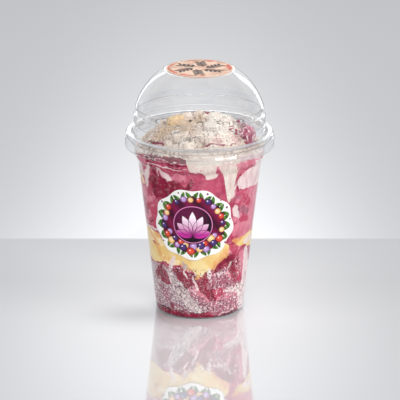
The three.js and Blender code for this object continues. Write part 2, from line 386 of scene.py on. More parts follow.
def lay_floor(half=3000.0, lines=13):
    """A square of 6 m just under the foot, as a grid of squares that share their corners."""
    steps = np.linspace(-half, half, lines)
    x, y = np.meshgrid(steps, steps)
    points = np.stack([x, y, np.full_like(x, -0.05)], axis=-1).reshape(-1, 3)
    i = np.arange(lines - 1)[:, None] * lines + np.arange(lines - 1)
    squares = np.stack([i, i + 1, i + lines + 1, i + lines], axis=-1).reshape(-1, 4)
    floor = mesh_piece("floor", points, [squares])
    floor.data.materials.append(floor_material())


lay_floor()

# %% [markdown]
# ## Soft light
#
# Clear plastic shows whatever it mirrors, so the room matters as much as the lamps. The room is
# bright behind the cup and dimmer at its sides, which keeps the front of the plastic clear and
# draws its edges light. The food gets its light from three wide lamps, in front and on both
# sides. They are hidden from mirrors, or each would show as a white square in the plastic. A
# fourth hangs high at the back, and the plastic may mirror that one.

# %% Hang the lights
ROOM = {"side": 0.10, "front": 0.42, "back": 0.92, "top": 0.5}  # how bright the room is
CUP_MIDDLE = 0.08  # m above the table, where the lamps aim


def light(name, bearing, rise, distance, size, bright, mirrored=True):
    """A soft rectangle of light (m) at a bearing and a rise in degrees, facing the cup's middle.
    A face of area A that is as bright as b everywhere gives off b * pi * A watts."""
    lamp = bpy.data.lights.new(name, "AREA")
    lamp.shape, lamp.size, lamp.size_y = "RECTANGLE", *size
    lamp.energy = bright * math.pi * size[0] * size[1]
    piece = bpy.data.objects.new(name, lamp)
    out, up = distance * math.cos(math.radians(rise)), distance * math.sin(math.radians(rise))
    angle = math.radians(bearing)
    piece.location = (out * math.sin(angle), -out * math.cos(angle), up + CUP_MIDDLE)
    piece.rotation_euler = (math.radians(90 - rise), 0.0, angle)
    piece.visible_camera = piece.visible_transmission = False
    piece.visible_glossy = mirrored
    bpy.context.scene.collection.objects.link(piece)
    return piece


def paint_room():
    """A room whose brightness depends on the direction alone: front, sides, back and top."""
    finish = Finish(bpy.data.worlds.new("studio"))
    _, y, z = finish.parts(finish.node("ShaderNodeTexCoord", output="Generated"))
    level = y.step(0.15, 0.8) * (ROOM["back"] - ROOM["side"]) + ROOM["side"]
    level = level + y.step(-0.25, -0.75) * (ROOM["front"] - ROOM["side"])
    level = level + (ROOM["top"] - level) * z.step(0.55, 0.95)
    glow = finish.node("ShaderNodeBackground", {}, {"Color": tone(250, 252, 255), "Strength": level})
    return finish.finished(glow, "ShaderNodeOutputWorld")


# Each lamp: bearing and rise in degrees, distance and size in m, brightness, and whether mirrors
# show it.
LAMPS = {
    "back_top": (180, 48, 1.2, (0.9, 0.7), 2.4, True),
    "front_fill": (9, 33, 1.25, (0.9, 0.6), 5.5, False),
    "left_fill": (-70, 20, 3.0, (1.2, 1.2), 6.6, False),
    "right_fill": (70, 20, 3.0, (1.2, 1.2), 12.0, False),
}
for name, plan in LAMPS.items():
    light(name, *plan)
bpy.context.scene.world = paint_room()

# %% [markdown]
# ## Clear plastic
#
# Thin sheet bends light very little but mirrors it well, above all where it turns away from the
# eye, so its look is all edges and highlights. Real glass maths gives that for free. Rays from
# lamps and soft bounces pass straight through, or the food inside would sit in the dark.

# %% Mix the plastic
SHEET_TINT = (0.985, 0.99, 0.995, 1.0)
SKIPPED_TINT = (0.94, 0.94, 0.94, 1.0)  # the share that gets through where rays skip the glass maths


def plastic_material(name, index, clear):
    """Nearly smooth sheet, as clear as given. Lamp rays and soft bounces skip its glass maths."""
    finish = Finish(name)
    sheet = finish.node("ShaderNodeBsdfPrincipled", {}, {
        "Base Color": SHEET_TINT, "Roughness": 0.02, "IOR": index, "Transmission Weight": clear,
    })
    open_air = finish.node("ShaderNodeBsdfTransparent", {}, {"Color": SKIPPED_TINT})
    soft = finish.node("ShaderNodeLightPath", output="Is Diffuse Ray")
    lamp = finish.node("ShaderNodeLightPath", output="Is Shadow Ray")
    inner = finish.node("ShaderNodeMixShader", {}, {0: soft, 1: sheet, 2: open_air})
    return finish.finished(finish.node("ShaderNodeMixShader", {}, {0: lamp, 1: inner, 2: open_air}))


cup_plastic = plastic_material("cup_plastic", 1.45, 1.0)
lid_plastic = plastic_material("lid_plastic", 1.57, 0.988)

# %% [markdown]
# ## The cup
#
# A cup like this is sucked into a mould from one sheet, so it is one line with a thickness, turned
# round the axis. The line is drawn through the middle of the sheet with a few named sizes, its
# corners are softened with small curves, and both faces are set half a thickness to either side.

# %% Draw lines with soft corners


def softened(corners, steps=6):
    """A line through (radius, height, cut) corners. Each corner is replaced by the curve
    (1-s)^2 A + 2s(1-s) P + s^2 B, where A and B lie on its two sides, cut mm from it."""
    corners = np.array(corners, float)
    places, cuts = corners[:, :2], corners[:, 2]
    s = np.linspace(0, 1, steps)[:, None]
    line = [places[:1]]
    for before, here, after, cut in zip(places, places[1:], places[2:], cuts[1:-1]):
        sides = [side - here for side in (before, after)]
        reach = [min(cut, 0.48 * np.hypot(*side)) / np.hypot(*side) for side in sides]
        a, b = (here + side * share for side, share in zip(sides, reach))
        line.append((1 - s) ** 2 * a + 2 * s * (1 - s) * here + s**2 * b)
    return np.concatenate([*line, places[-1:]])


def finer(line, spacing):
    """The same line with points at most spacing mm apart."""
    steps = np.hypot(*np.diff(line, axis=0).T)
    along = np.concatenate([[0], np.cumsum(steps)])
    stretches = zip(along, along[1:])
    extra = [np.linspace(a, b, max(2, math.ceil((b - a) / spacing) + 1)) for a, b in stretches]
    marks = np.unique(np.concatenate(extra))
    return np.stack([np.interp(marks, along, line[:, i]) for i in (0, 1)], axis=1)


def sheet_profile(line, thick):
    """The loop round both faces of a sheet: the line moved half a thickness along its normals,
    out below and back above, with a half circle round its free edge."""
    run = np.gradient(line, axis=0)
    run /= np.hypot(*run.T)[:, None]
    normal = np.stack([-run[:, 1], run[:, 0]], axis=1)
    turn = np.linspace(-math.pi / 2, math.pi / 2, 7)[1:-1, None]
    edge = line[-1] + thick / 2 * (np.cos(turn) * run[-1] + np.sin(turn) * normal[-1])
    loop = np.concatenate([line - normal * thick / 2, edge, (line + normal * thick / 2)[::-1]])
    loop[[0, -1], 0] = 0.0
    loop[:, 0] = np.maximum(loop[:, 0], 0.0)
    return loop


def turned_sheet(name, line, thick, columns=256):
    """A sheet of even thickness, turned round the axis."""
    loop = sheet_profile(line, thick)
    grid = round_axis(loop[:, :1], bearings(columns)[None], loop[:, 1:])
    return skin_piece(name, grid)


# %% Turn the cup
CUP_SHEET = 0.6
CUP_FLOOR = 2.9  # height of the pushed-up floor's middle
RING_IN, RING_OUT, RING_LOW = 27.4, 28.9, 0.3  # radii and height of the ring it stands on
WALL = [(29.75, 1.5, 1.2), (41.6, 106.5, 1.4), (43.5, 109.0, 1.4), (44.5, 117.0, 1.5),
        (46.85, 120.0, 1.5)]
RIM = [(46.85, 124.8, 1.1), (49.2, 124.8, 1.1), (49.2, 121.8, 0.8), (48.5, 121.8, 0.4)]


def cup_line():
    """The middle of the cup's sheet, from the axis out and up to the curl of the rim."""
    floor = [(0.0, CUP_FLOOR, 0.0), (RING_IN - 1.0, CUP_FLOOR, 1.0)]
    ring = [(RING_IN, RING_LOW, 0.6), (RING_OUT, RING_LOW, 0.6)]
    return finer(softened([*floor, *ring, *WALL, *RIM]), 2.5)


cup_path = cup_line()
cup = turned_sheet("clear_cup", cup_path, CUP_SHEET)
dress(cup, cup_plastic, "cup_plastic", "cup")

# %% [markdown]
# ## The lid
#
# The dome is an arc that ends in a flat top. Below it come a narrow neck, the upright collar with
# one fine bead, the trough that seals against the cup's mouth, a flat flange and the skirt that
# clips over the rim. The moulded lines matter: each is one bright or dark hoop in the photo.

# %% Turn the lid
LID_SHEET = 0.5
DOME = {"radius": 43.65, "off_axis": 1.4, "z": 130.7, "top": 168.35, "edge": 143.2}
NECK = [(42.45, 139.9, 2.0), (42.85, 139.1, 0.5), (44.35, 138.15, 1.4)]
COLLAR = [(44.35, 132.3, 0.5), (43.85, 131.4, 0.5), (44.5, 130.5, 0.5), (44.65, 124.4, 0.6)]
TROUGH = [(45.3, 122.85, 0.6), (46.0, 124.4, 0.6), (46.3, 125.75, 0.5)]
SKIRT = [
    (49.3, 125.75, 1.0), (50.05, 124.55, 0.8), (50.05, 123.15, 0.4), (50.35, 122.7, 0.4),
    (50.35, 118.0, 0.8), (50.5, 116.5, 0.0),
]


def lid_line():
    """The middle of the lid's sheet, from the axis down the dome's arc to the skirt's foot."""
    low, high = (math.asin((DOME[key] - DOME["z"]) / DOME["radius"]) for key in ("edge", "top"))
    angle = np.linspace(high, low, 40)
    r = DOME["off_axis"] + DOME["radius"] * np.cos(angle)
    z = DOME["z"] + DOME["radius"] * np.sin(angle)
    arc = [(*point, 2.0 if i == 0 else 0.1) for i, point in enumerate(zip(r, z))]
    return finer(softened([(0.0, DOME["top"], 0.0), *arc, *NECK, *COLLAR, *TROUGH, *SKIRT]), 2.0)


lid = turned_sheet("domed_lid", lid_line(), LID_SHEET)
dress(lid, lid_plastic, "lid_plastic", "dome_lid")

# %% [markdown]
# The lid alone shows tall white bands just inside its edges, a bright flange, and low on its
# skirt a small bar of light. In a studio, black cards would keep those lamps off the cup and the
# table. Blender's light linking does the same: a lamp with a receiver collection lights only the
# objects in it.

# %% Hang the lid's own lamps


def shine_on(lamp, *pieces):
    """Lets a lamp light these pieces alone."""
    lit = bpy.data.collections.new(lamp.name + "_lights")
    for piece in pieces:
        lit.objects.link(piece)
    lamp.light_linking.receiver_collection = lit
    print(lamp.name, "lights", *(piece.name for piece in pieces))


# Each lamp: bearing and rise in degrees, distance and size in m, and brightness.
LID_LAMPS = {
    "left_strip": (-151, 16, 0.42, (0.045, 0.3), 2.6),
    "right_strip": (145, 16, 0.42, (0.085, 0.3), 3.0),
    "back_bar": (180, 20, 1.2, (0.5, 0.34), 2.2),
    "skirt_strip": (38, -7.8, 0.3, (0.17, 0.012), 7.0),
    "collar_strip": (25, -5.5, 0.3, (0.4, 0.012), 1.8),
}
for name, plan in LID_LAMPS.items():
    shine_on(light(name, *plan), lid)

# %% [markdown]
# ## The seams between the layers
#
# Nobody fills a cup evenly. Each seam has a usual height at the wall and a few swells where the
# spoon pushed it up or down, and grains and pulp fray it a little more. A seam meets the wall at
# that height and evens out towards the middle of the cup.

# %% Work out the seams
CONTENTS = 0.05  # how far inside the middle of the cup's sheet the food ends, so no air shows
SEAMS = {
    "heel": (5.4, 6, 0.5, [(-48, 14, 1.2), (20, 16, -0.6), (62, 12, 0.9)]),
    "powder": (27, 24, 1.2, [(-56, 36, 10.5), (15, 21, -15.5), (50, 24, -5), (118, 20, -6), (165, 24, 4)]),
    "lower": (44, 42, 0.9, [(-66, 26, -6.5), (4, 12, -12.5), (-12, 18, -4), (52, 22, 7), (130, 18, -5),
                           (175, 20, 3), (-135, 24, -5)]),
    "cream": (59, 56, 0.8, [(-80, 11, 4), (-57, 17, -8.5), (0, 18, -2), (40, 15, -6), (105, 14, 4),
                           (150, 18, -5), (-160, 16, 4), (-115, 14, -4)]),
    "upper": (116, 119, 0.5, [(4, 13, -8), (30, 7, -31), (-40, 22, 1), (58, 16, -2), (-120, 30, -3),
                             (-88, 24, -3.2), (90, 24, -3.2), (150, 16, 1.5)]),
}


def wall_radius(height):
    """The radius at which the food meets the wall, just inside the cup's sheet."""
    beyond_ring = cup_path[:, 0] >= RING_OUT
    rising = cup_path[np.argmin(np.where(beyond_ring, cup_path[:, 1], np.inf)):]
    rising = rising[: np.argmax(rising[:, 1])]
    return np.interp(height, rising[:, 1], rising[:, 0]) - CONTENTS


def turn_between(a, b):
    """The shortest turn between two bearings, in degrees."""
    return np.abs((a - b + 540) % 360 - 180)


def seam_height(name, bearing, share):
    """A seam's height at bearings in radians and shares of the way from the axis to the wall:
    the usual height, plus rise * exp(-(turn / spread)^2) for each swell, plus fine noise."""
    usual, middle, fray, swells = SEAMS[name]
    degrees = np.degrees(bearing)
    at_wall = usual + sum(rise * np.exp(-((turn_between(degrees, at) / spread) ** 2))
                          for at, spread, rise in swells)
    ring = round_axis(38.0, bearing, usual)
    at_wall = at_wall + fray * rough_hills(ring, 5.0, int(usual))
    return middle + (at_wall - middle) * share**2


for name in SEAMS:
    print(name, "seam at the front:", seam_height(name, np.zeros(1), 1.0).round(1), "mm")

# %% [markdown]
# ## Smears pressed against the wall
#
# What makes the cup look full is the marbling: pale milk, dark pulp and loose powder, dragged
# along the wall by the spoon. Each smear is a brush stroke of a few listed points, given as
# bearing in degrees, height and half width in millimetres. The strokes are measured on the wall
# as whole arrays, and the material later frays their edges with noise.

# %% Place the strokes
# Each stroke: the width of its soft edge, then its (bearing, height, half width) points.
STROKES = {
    "rose": [
        (3.0, [(37, 62, 3.0), (52, 65, 7.5), (76, 67, 9)]),
        (3.0, [(40, 72, 3), (58, 77, 8), (80, 79, 10)]),
        (3.0, [(56, 87, 4.5), (78, 89, 7)]),
        (2.5, [(40, 84, 1.6), (48, 88.5, 1.6)]),
        (0.8, [(-54, 88.6, 0.3), (-47, 89, 0.5), (-38, 90.2, 0.4)]),
        (2.5, [(-66, 80, 2.0), (-56, 84, 2.0), (-50, 86.5, 1.2)]),
        (2.5, [(-70, 68, 2.0), (-60, 73, 2.4), (-54, 79, 1.6)]),
        (2.0, [(37, 111.5, 2.4), (52, 112, 3.4), (68, 110.5, 3.4)]),
        (2.0, [(42, 104.5, 1.4), (56, 105.5, 1.4), (68, 104, 2)]),
        (3.0, [(-80, 89, 4), (-68, 85, 4), (-63, 92, 2.4)]),
        (2.5, [(-29, 101.6, 1.4), (-22, 104.4, 2.2), (-14, 103.4, 2.0)]),
        (3.0, [(-82, 70, 3), (-74, 74, 2)]),
        (2.5, [(-68, 110.5, 2.6), (-58, 112, 1.8)]),
        (1.6, [(12, 31, 1.8), (22, 31, 3.6), (34, 29.5, 3.4), (40, 30, 2.0)]),
        (2.0, [(10, 12, 2), (26, 10, 7), (44, 11, 8), (60, 12, 8)]),
        (1.6, [(23, 112.4, 1.0), (34, 112.4, 1.4)]),
        (2.0, [(38, 106, 0.6), (46, 106.4, 1.2)]),
        (2.0, [(-6, 23, 2.0), (2, 18, 2.4), (9, 13, 2.2)]),
        (1.2, [(-14, 23, 1.2), (-7, 18, 1.6), (0, 14, 1.2)]),
        (2.5, [(54, 44, 2.5), (60, 38, 4), (68, 32, 6), (72, 22, 6)]),
        (2.5, [(48, 56.5, 1.6), (58, 59, 1.8)]),
        (1.6, [(29, 47.5, 1.4), (38, 50, 2.0), (48, 49.6, 1.6)]),
        (1.2, [(12, 112.6, 0.7), (20, 111.4, 1.4), (34, 112.4, 1.0)]),
        (1.0, [(-3, 111.4, 1.2), (3, 109.6, 0.9)]),
        (1.2, [(28, 108, 0.6), (29.5, 102, 0.9), (31, 95, 0.5)]),
    ],
    "blush": [
        (1.5, [(45, 107.6, 1.6), (53, 107, 2.6), (61, 104.5, 1.8)]),
        (2.5, [(47, 88, 1.6), (51, 85, 3.0), (57, 81.5, 3.0)]),
        (2.5, [(-62, 78, 2), (-55, 75, 3.5), (-52, 66, 3)]),
        (1.5, [(1, 32, 1.2), (4, 28, 2.0)]),
        (1.0, [(14, 20.4, 2.4), (20, 18.6, 3.6), (26, 20, 2.4)]),
        (3.0, [(50, 71, 2.4), (60, 69, 2.0)]),
        (3.0, [(36, 60, 1.2), (39, 52, 3.4), (43, 50, 3.0)]),
        (1.6, [(38, 36, 1.6), (43, 31, 2.0)]),
        (1.2, [(50, 33, 1.8), (54, 28, 2.2), (52, 24, 1.2)]),
        (1.2, [(8, 4.6, 1.2), (18, 4.4, 1.6), (30, 3.4, 1.0)]),
        (1.2, [(24, 40.5, 1.4), (27, 44.5, 1.2)]),
        (2.0, [(-35, 108, 2.0), (-24, 108.6, 1.8), (-14, 109.4, 1.2)]),
    ],
    "deep": [
        (2.0, [(-50, 97, 4.4), (-42, 94.6, 8.2), (-33, 94, 7.8), (-26, 96, 5)]),
        (1.5, [(-20, 100, 1.0), (-17, 95.5, 3.0), (-24, 90.5, 2.4)]),
        (0.8, [(-7, 103.5, 0.5), (-9, 99, 1.4), (-14, 94, 1.6), (-22, 90.6, 1.2), (-32, 90, 0.8)]),
        (1.2, [(-49.5, 109, 0.8), (-46, 103, 2.0)]),
        (0.8, [(-43.5, 108.5, 0.5), (-42, 103.5, 0.9)]),
        (0.7, [(-56, 114.4, 0.5), (-34, 113.5, 0.8), (-13, 113.2, 0.7)]),
        (0.6, [(-56, 111.6, 0.35), (-40, 111.4, 0.4)]),
        (0.6, [(-30, 111.6, 0.4), (-15, 111.2, 0.45)]),
        (1.4, [(-30, 117.6, 2.6), (-22, 118.2, 3.6), (-15.5, 117, 2.6)]),
        (1.2, [(-50, 116.6, 1.2), (-38, 117.2, 1.6), (-31, 116, 1.2)]),
        (0.7, [(43, 106, 0.5), (39.5, 101.5, 0.6), (38, 97, 0.7), (40.5, 92.4, 0.6)]),
        (2.6, [(-60, 29, 3.2), (-53, 33, 4.4), (-47, 29, 4.4), (-42, 26, 3.0)]),
        (1.0, [(-40, 11, 0.6), (-38, 6, 1.6), (-36, 3, 2)]),
        (0.9, [(-28, 35, 1.8), (-20, 31.6, 4.8), (-13, 29.6, 4.6), (-17, 25.2, 2.2)]),
        (0.9, [(-10, 33.6, 1.4), (-4, 28.6, 2.2), (3, 23.4, 2.4), (8, 18.6, 1.4)]),
        (0.9, [(8, 34.5, 1.4), (6.5, 28, 2.6), (8, 22, 3.0), (13, 18, 2.6), (18, 14.6, 1.6)]),
        (1.2, [(9, 5.6, 0.8), (14, 4.6, 1.2), (19, 4, 0.8)]),
        (1.2, [(18, 35.6, 1.6), (27, 40.2, 3.4), (36, 42.6, 4.6), (41, 36, 2.8), (46.5, 28.6, 2.0)]),
        (1.5, [(-72, 2.6, 1.0), (-40, 2.6, 1.7), (0, 2.4, 1.8), (24, 2.2, 1.2)]),
        (0.6, [(-70, 63, 0.3), (-58, 68, 0.5)]),
    ],
    "mauve": [
        (1.0, [(11, 24, 1.6), (18, 25.2, 2.2), (30, 24.8, 2.5), (42, 24, 1.5), (52, 23, 0.7)]),
        (2.0, [(43, 77, 1.8), (48, 77.4, 2.6), (56, 74.6, 2.6)]),
        (2.5, [(-82, 83, 2.4), (-72, 80, 1.8)]),
        (3.0, [(-14, 17, 2.6), (-4, 14, 3.0), (6, 11, 2.6), (20, 8, 5.4), (44, 9, 5.6)]),
        (2.0, [(14, 30, 2.2), (26, 29, 3.2), (36, 27.6, 2.4)]),
        (1.6, [(37, 117, 1.8), (56, 116.4, 2.2)]),
        (2.0, [(22, 34.4, 1.2), (32, 35, 1.4)]),
        (2.5, [(-82, 77, 2), (-66, 71, 1.6)]),
        (2.0, [(38, 87.5, 1.6), (44, 87, 1.2)]),
        (1.4, [(25, 110, 0.5), (26, 104, 0.6)]),
        (3.0, [(-54, 20, 3), (-47, 14, 4), (-42, 20, 2)]),
        (2.0, [(-34, 9, 1.6), (-22, 6.4, 1.6), (-14, 5, 0.8)]),
        (2.5, [(-76, 12, 4), (-66, 8, 3)]),
        (1.5, [(52, 22, 0.8), (60, 16, 0.9)]),
    ],
    "yolk": [
        (2.0, [(-82, 55, 5), (-64, 57, 4.0), (-52, 56, 3.8), (-46, 52, 2.0)]),
        (1.6, [(-46, 42, 2.0), (-38, 40.6, 2.0), (-26, 41.6, 1.6)]),
        (2.5, [(-77, 96.5, 2.6), (-71, 94, 2.0)]),
    ],
    "amber": [
        (1.8, [(-55, 59.6, 1.4), (-49, 58, 1.8)]),
        (1.8, [(39, 55.6, 1.2), (46, 55, 1.8)]),
        (3.0, [(-70, 59, 1.0), (-60, 57, 1.4), (-53, 51, 2.4), (-49, 44, 1.4)]),
        (1.6, [(-46, 41.5, 1.4), (-38, 42.5, 1.6)]),
        (2.0, [(-22, 41, 1.4), (-12, 37, 1.0)]),
        (3.2, [(14, 38.0, 1.2), (22, 43.4, 2.2), (31, 48.8, 2.6)]),
        (1.4, [(0, 32.4, 0.8), (-3, 30.6, 0.8)]),
        (1.6, [(44, 54.4, 1.0), (52, 56.4, 1.0)]),
    ],
    "milk": [
        (3.0, [(-40, 108, 1.0), (-35, 104.4, 2.0), (-29, 101.6, 1.8)]),
        (1.2, [(-42, 109, 0.4), (-43, 103, 0.5)]),
        (2.6, [(-53, 109, 1.2), (-57, 105, 2.8), (-62, 99, 3.2), (-62, 93, 2.0)]),
        (3.5, [(-86, 117, 5), (-78, 107, 5), (-71, 101, 3)]),
        (1.8, [(-84, 61, 1.6), (-66, 62, 0.9), (-47, 62.6, 0.5)]),
        (3.0, [(37, 116, 1.8), (56, 115.6, 2.4), (78, 113, 3.4)]),
        (2.5, [(60, 110.4, 1.2), (76, 105.4, 3.0)]),
        (3.0, [(84, 92, 3), (84, 76, 1.6), (84, 60, 3)]),
        (0.7, [(-56, 110.4, 0.3), (-34, 110.8, 0.4), (-12, 110.2, 0.35)]),
        (0.8, [(-56, 115.4, 0.5), (-34, 115.2, 0.3), (-13, 114.9, 0.4)]),
        (1.2, [(47, 97.6, 5.6), (56, 99, 7.6), (67, 99, 7.4), (80, 97, 6.4)]),
        (1.5, [(37, 79.4, 2.0), (40, 75.4, 2.4), (44, 72.6, 1.0)]),
        (1.5, [(36.5, 104, 0.5), (36, 96, 0.8), (33.5, 89, 1.2)]),
        (0.8, [(25.5, 99, 0.4), (28, 94, 0.6), (31, 90, 0.6)]),
        (2.0, [(58, 52.5, 1.6), (74, 53.5, 3)]),
        (1.0, [(-30, 45.6, 0.9), (-34, 39.6, 1.3), (-37, 33, 1.9), (-38, 26, 1.0)]),
        (0.8, [(11, 38.4, 0.4), (12, 34, 1.5), (11.4, 30.6, 1.1)]),
        (1.2, [(31, 20, 0.8), (38, 20.8, 2.0), (47, 19.6, 1.6), (57, 17, 1.0)]),
        (0.7, [(-17.6, 39.6, 0.6), (-16.4, 33, 0.8), (-14.6, 30, 0.4)]),
        (0.7, [(-8.6, 32.6, 0.4), (-6, 28, 0.8), (-2.6, 22.6, 0.8)]),
        (0.9, [(21, 34, 0.6), (25, 32.6, 1.4), (31, 33.6, 0.7)]),
        (3.0, [(64, 46, 2.4), (66, 38, 3.6), (73, 30, 6.4), (74, 20, 7.4), (72, 8, 7.4)]),
        (2.5, [(52, 21, 1.6), (58, 17, 3.4), (60, 13, 2)]),
        (1.6, [(-12, 9.6, 1.8), (-5, 8, 2.4), (1.6, 6, 1.2)]),
        (0.6, [(26, 3, 0.25), (31, 4.6, 0.35), (38, 3.4, 0.3), (50, 3.8, 0.5)]),
        (2.0, [(-84, 66, 1), (-70, 64.6, 0.8)]),
    ],
    "powder": [
        (1.2, [(-5.5, 124, 4.8), (-5, 112.5, 4.4)]),
        (1.6, [(4, 122, 8), (8, 112, 6.0), (11, 106.4, 3.4)]),
        (1.5, [(22, 120, 7), (27, 110, 5.4), (30, 101, 3.2), (32, 94, 1.9), (32.6, 88, 1.2)]),
        (3.0, [(40, 120, 3), (60, 121, 4)]),
        (3.0, [(-60, 121, 3), (-40, 121.6, 2)]),
        (1.2, [(-37, 30, 1.8), (-26, 22, 3.6), (-14, 13, 3.6), (-3, 7.6, 2.6)]),
        (0.9, [(-17.6, 38.6, 1.4), (-20, 42, 0.9)]),
        (1.0, [(34, 35.4, 0.7), (38, 39, 1.0)]),
    ],
    "grit": [
        (3.0, [(-70, 20, 16), (-20, 18, 14), (20, 16, 12), (60, 12, 10)]),
        (2.0, [(-50, 34, 4), (-20, 32, 6), (24, 33, 4), (44, 34, 8)]),
        (2.0, [(-52, 117, 3), (-34, 118, 3)]),
    ],
}
print(sum(len(strokes) for strokes in STROKES.values()), "strokes on the wall")

# %% [markdown]
# The photo shows only the front. The back gets strokes of the same kinds and sizes, drawn by a
# seeded rule, so that the cup is as marbled from behind as it is from the front.

# %% Carry the marbling round the back
# For each kind: how many, from which height to which, and the half widths.
BACK = {"rose": (18, 60, 114, 2, 6), "deep": (10, 62, 112, 1, 4.5), "milk": (12, 62, 110, 0.5, 4),
        "mauve": (7, 62, 104, 1, 3), "blush": (8, 60, 106, 1, 3), "powder": (8, 20, 44, 1, 3),
        "amber": (5, 46, 54, 0.8, 2)}
LOW_BACK = {kind: (7, 10, 42, 0.7, 2.6) for kind in ("deep", "milk", "rose", "mauve")}


def back_strokes(count, low, high, thin, thick, seed):
    """Slanting, bent strokes between two heights, at bearings from 90 to 268 degrees."""
    draw = np.random.default_rng(seed)
    bearing, height = draw.uniform(90, 268, count), draw.uniform(low, high, count)
    lean, rise, bend = (draw.uniform(-most, most, count) for most in (16, 7, 4))
    width = thin + (thick - thin) * draw.uniform(0, 1, count) ** 1.6
    soft = draw.uniform(1.4, 3.4, count)
    start = [bearing, height, width * 0.5]
    middle = [bearing + lean / 2, height + rise + bend, width]
    end = [bearing + lean, height + 2 * rise, width * 0.4]
    return list(zip(soft, np.array([start, middle, end]).transpose(2, 0, 1)))


for first_seed, plans in ((40, BACK), (60, LOW_BACK)):
    for seed, (kind, plan) in enumerate(plans.items(), first_seed):
        STROKES[kind] += back_strokes(*plan, seed)
STROKES["grit"].append((3.0, [(92, 20, 15), (180, 22, 17), (268, 20, 15)]))


def stroke_cover(bearing, height, strokes):
    """How much of each place on the wall the strokes cover, from 0 to 1.

    A place's distance is measured to the nearest stretch between two of a stroke's points, less
    the half width there. Over the soft edge that distance turns into cover: 0.5 - distance / soft.
    """
    cover = np.zeros(np.shape(bearing))
    scale = np.radians(wall_radius(height))  # mm of wall to a degree
    for soft, points in strokes:
        for (b0, h0, w0), (b1, h1, w1) in zip(points, points[1:]):
            x = ((bearing - b0 + 540) % 360 - 180) * scale
            y = height - h0
            run_x, run_y = (b1 - b0) * scale, h1 - h0
            t = np.clip((x * run_x + y * run_y) / (run_x**2 + run_y**2), 0, 1)
            away = np.hypot(x - t * run_x, y - t * run_y) - (w0 + t * (w1 - w0))
            cover = np.maximum(cover, np.clip(0.5 - away / soft, 0, 1))
    return cover


def wall_paint(points):
    """The cover of every kind of stroke at points in mm, their places warped by a little noise."""
    bearing = np.degrees(np.arctan2(points[..., 0], -points[..., 1]))
    warp = [rough_hills(points, 5.0, seed) * 1.1 + hills(points, 1.4, seed + 7) * 0.35
            for seed in (11, 31)]
    bearing, height = bearing + warp[0] / 0.65, points[..., 2] + warp[1]
    return {kind: stroke_cover(bearing, height, strokes) for kind, strokes in STROKES.items()}


# %% [markdown]
# ## What the layers are made of
#
# Frozen acai is a smooth pulp that goes from pale pink where milk has got in to nearly black where
# it has not. Damp powder is grey-pink and full of specks. One recipe mixes them all: a base for
# the layer, then the strokes, each with an edge frayed by noise, and grain wherever powder lies.

# %% Mix the food
# Each ink: its colour, its darker streaks, and how far it covers what lies under it.
INKS = {
    "rose": (tone(226, 140, 158), tone(204, 108, 130), 0.85),
    "blush": (tone(196, 66, 98), tone(176, 48, 82), 0.9),
    "deep": (tone(150, 24, 58), tone(104, 8, 38), 0.95),
    "mauve": (tone(172, 104, 122), tone(144, 80, 100), 0.8),
    "yolk": (tone(254, 232, 182), tone(246, 208, 146), 0.92),
    "amber": (tone(238, 186, 116), tone(224, 154, 92), 0.8),
    "milk": (tone(246, 230, 228), tone(222, 192, 194), 0.88),
}
DUST = (tone(208, 192, 188), tone(178, 154, 156))  # damp, low in the cup
DRY_DUST = (tone(242, 230, 220), tone(228, 204, 196))


def grainy(finish, colour, amount):
    """Loose grains over a colour: pits of dark pulp, and pale grains of powder between them."""
    pits, grains = finish.noise(1.5, 2.0, 0.7), finish.noise(1.2, 2.0, 0.7)
    return finish.coats(
        colour,
        (tone(88, 38, 56), pits.step(0.46, 0.4) * amount * 0.85),
        (tone(246, 238, 236), grains.step(0.56, 0.62) * amount * 0.9),
    )


def smeared(finish, colour):
    """The strokes over a colour, one ink after another, each with an edge frayed by noise."""
    upright = {0: finish.place(), 1: (1, 1, 0.35)}
    tall = finish.node("ShaderNodeVectorMath", {"operation": "MULTIPLY"}, upright)
    drag = finish.noise(3.2, 3.0, 0.55, tall)
    streaks, grit = drag.step(0.32, 0.72), finish.painted("grit")
    fray = (finish.noise(1.1, 3.0, 0.7) - 0.5) * (grit * 1.2 + 1.0) + (drag - 0.5) * 0.8
    high = finish.parts(finish.place())[2].step(0.06, 0.09)
    inks = {kind: (finish.mix(ink, streak, streaks), cover)
            for kind, (ink, streak, cover) in INKS.items()}
    dust = finish.mix(finish.mix(*DUST, streaks), finish.mix(*DRY_DUST, streaks), high)
    for kind, (ink, cover) in {**inks, "powder": (dust, 0.85)}.items():
        mask = (finish.painted(kind) + fray).step(0.34, 0.66)
        colour = finish.mix(colour, ink, mask * cover)
    return grainy(finish, colour, grit * (1 - finish.painted("deep") * 0.8))


def food_material(name, pale, dark, size=6.0):
    """A layer's own two tones in drifts, with the strokes and grains over them, and a bloom of
    frost over all."""
    finish = Finish(name)
    colour = finish.mix(pale, dark, finish.noise(size, 3.0).step(0.38, 0.62))
    bloom = finish.noise(2.8, 4.0, 0.65).step(0.5, 0.7) * 0.16
    colour = finish.mix(smeared(finish, colour), tone(240, 222, 222), bloom)
    return finish.surface({
        "Base Color": colour, "Roughness": 0.5, "Specular IOR Level": 0.0,
        "Normal": finish.bump(0.3, 0.5, finish.noise(0.8)),
    })


FOODS = {
    "acai_heel": food_material("dark_pulp", tone(112, 28, 56), tone(86, 14, 40)),
    "powder_layer": food_material("damp_powder", tone(190, 166, 170), tone(170, 138, 148)),
    "acai_lower": food_material("deep_pulp", tone(186, 78, 104), tone(158, 50, 80)),
    "cream_layer": food_material("yellow_cream", tone(242, 216, 152), tone(236, 198, 124), 9.0),
    "acai_upper": food_material("pink_pulp", tone(196, 84, 112), tone(172, 62, 90)),
}

# %% [markdown]
# ## Fill the cup
#
# Each layer is one closed skin: the seam below it from the axis out, the wall from that seam up to
# the next, and the seam above it back to the axis. The food reaches just into the plastic. With
# air between them the wall would mirror twice and the food would look as if it floated.

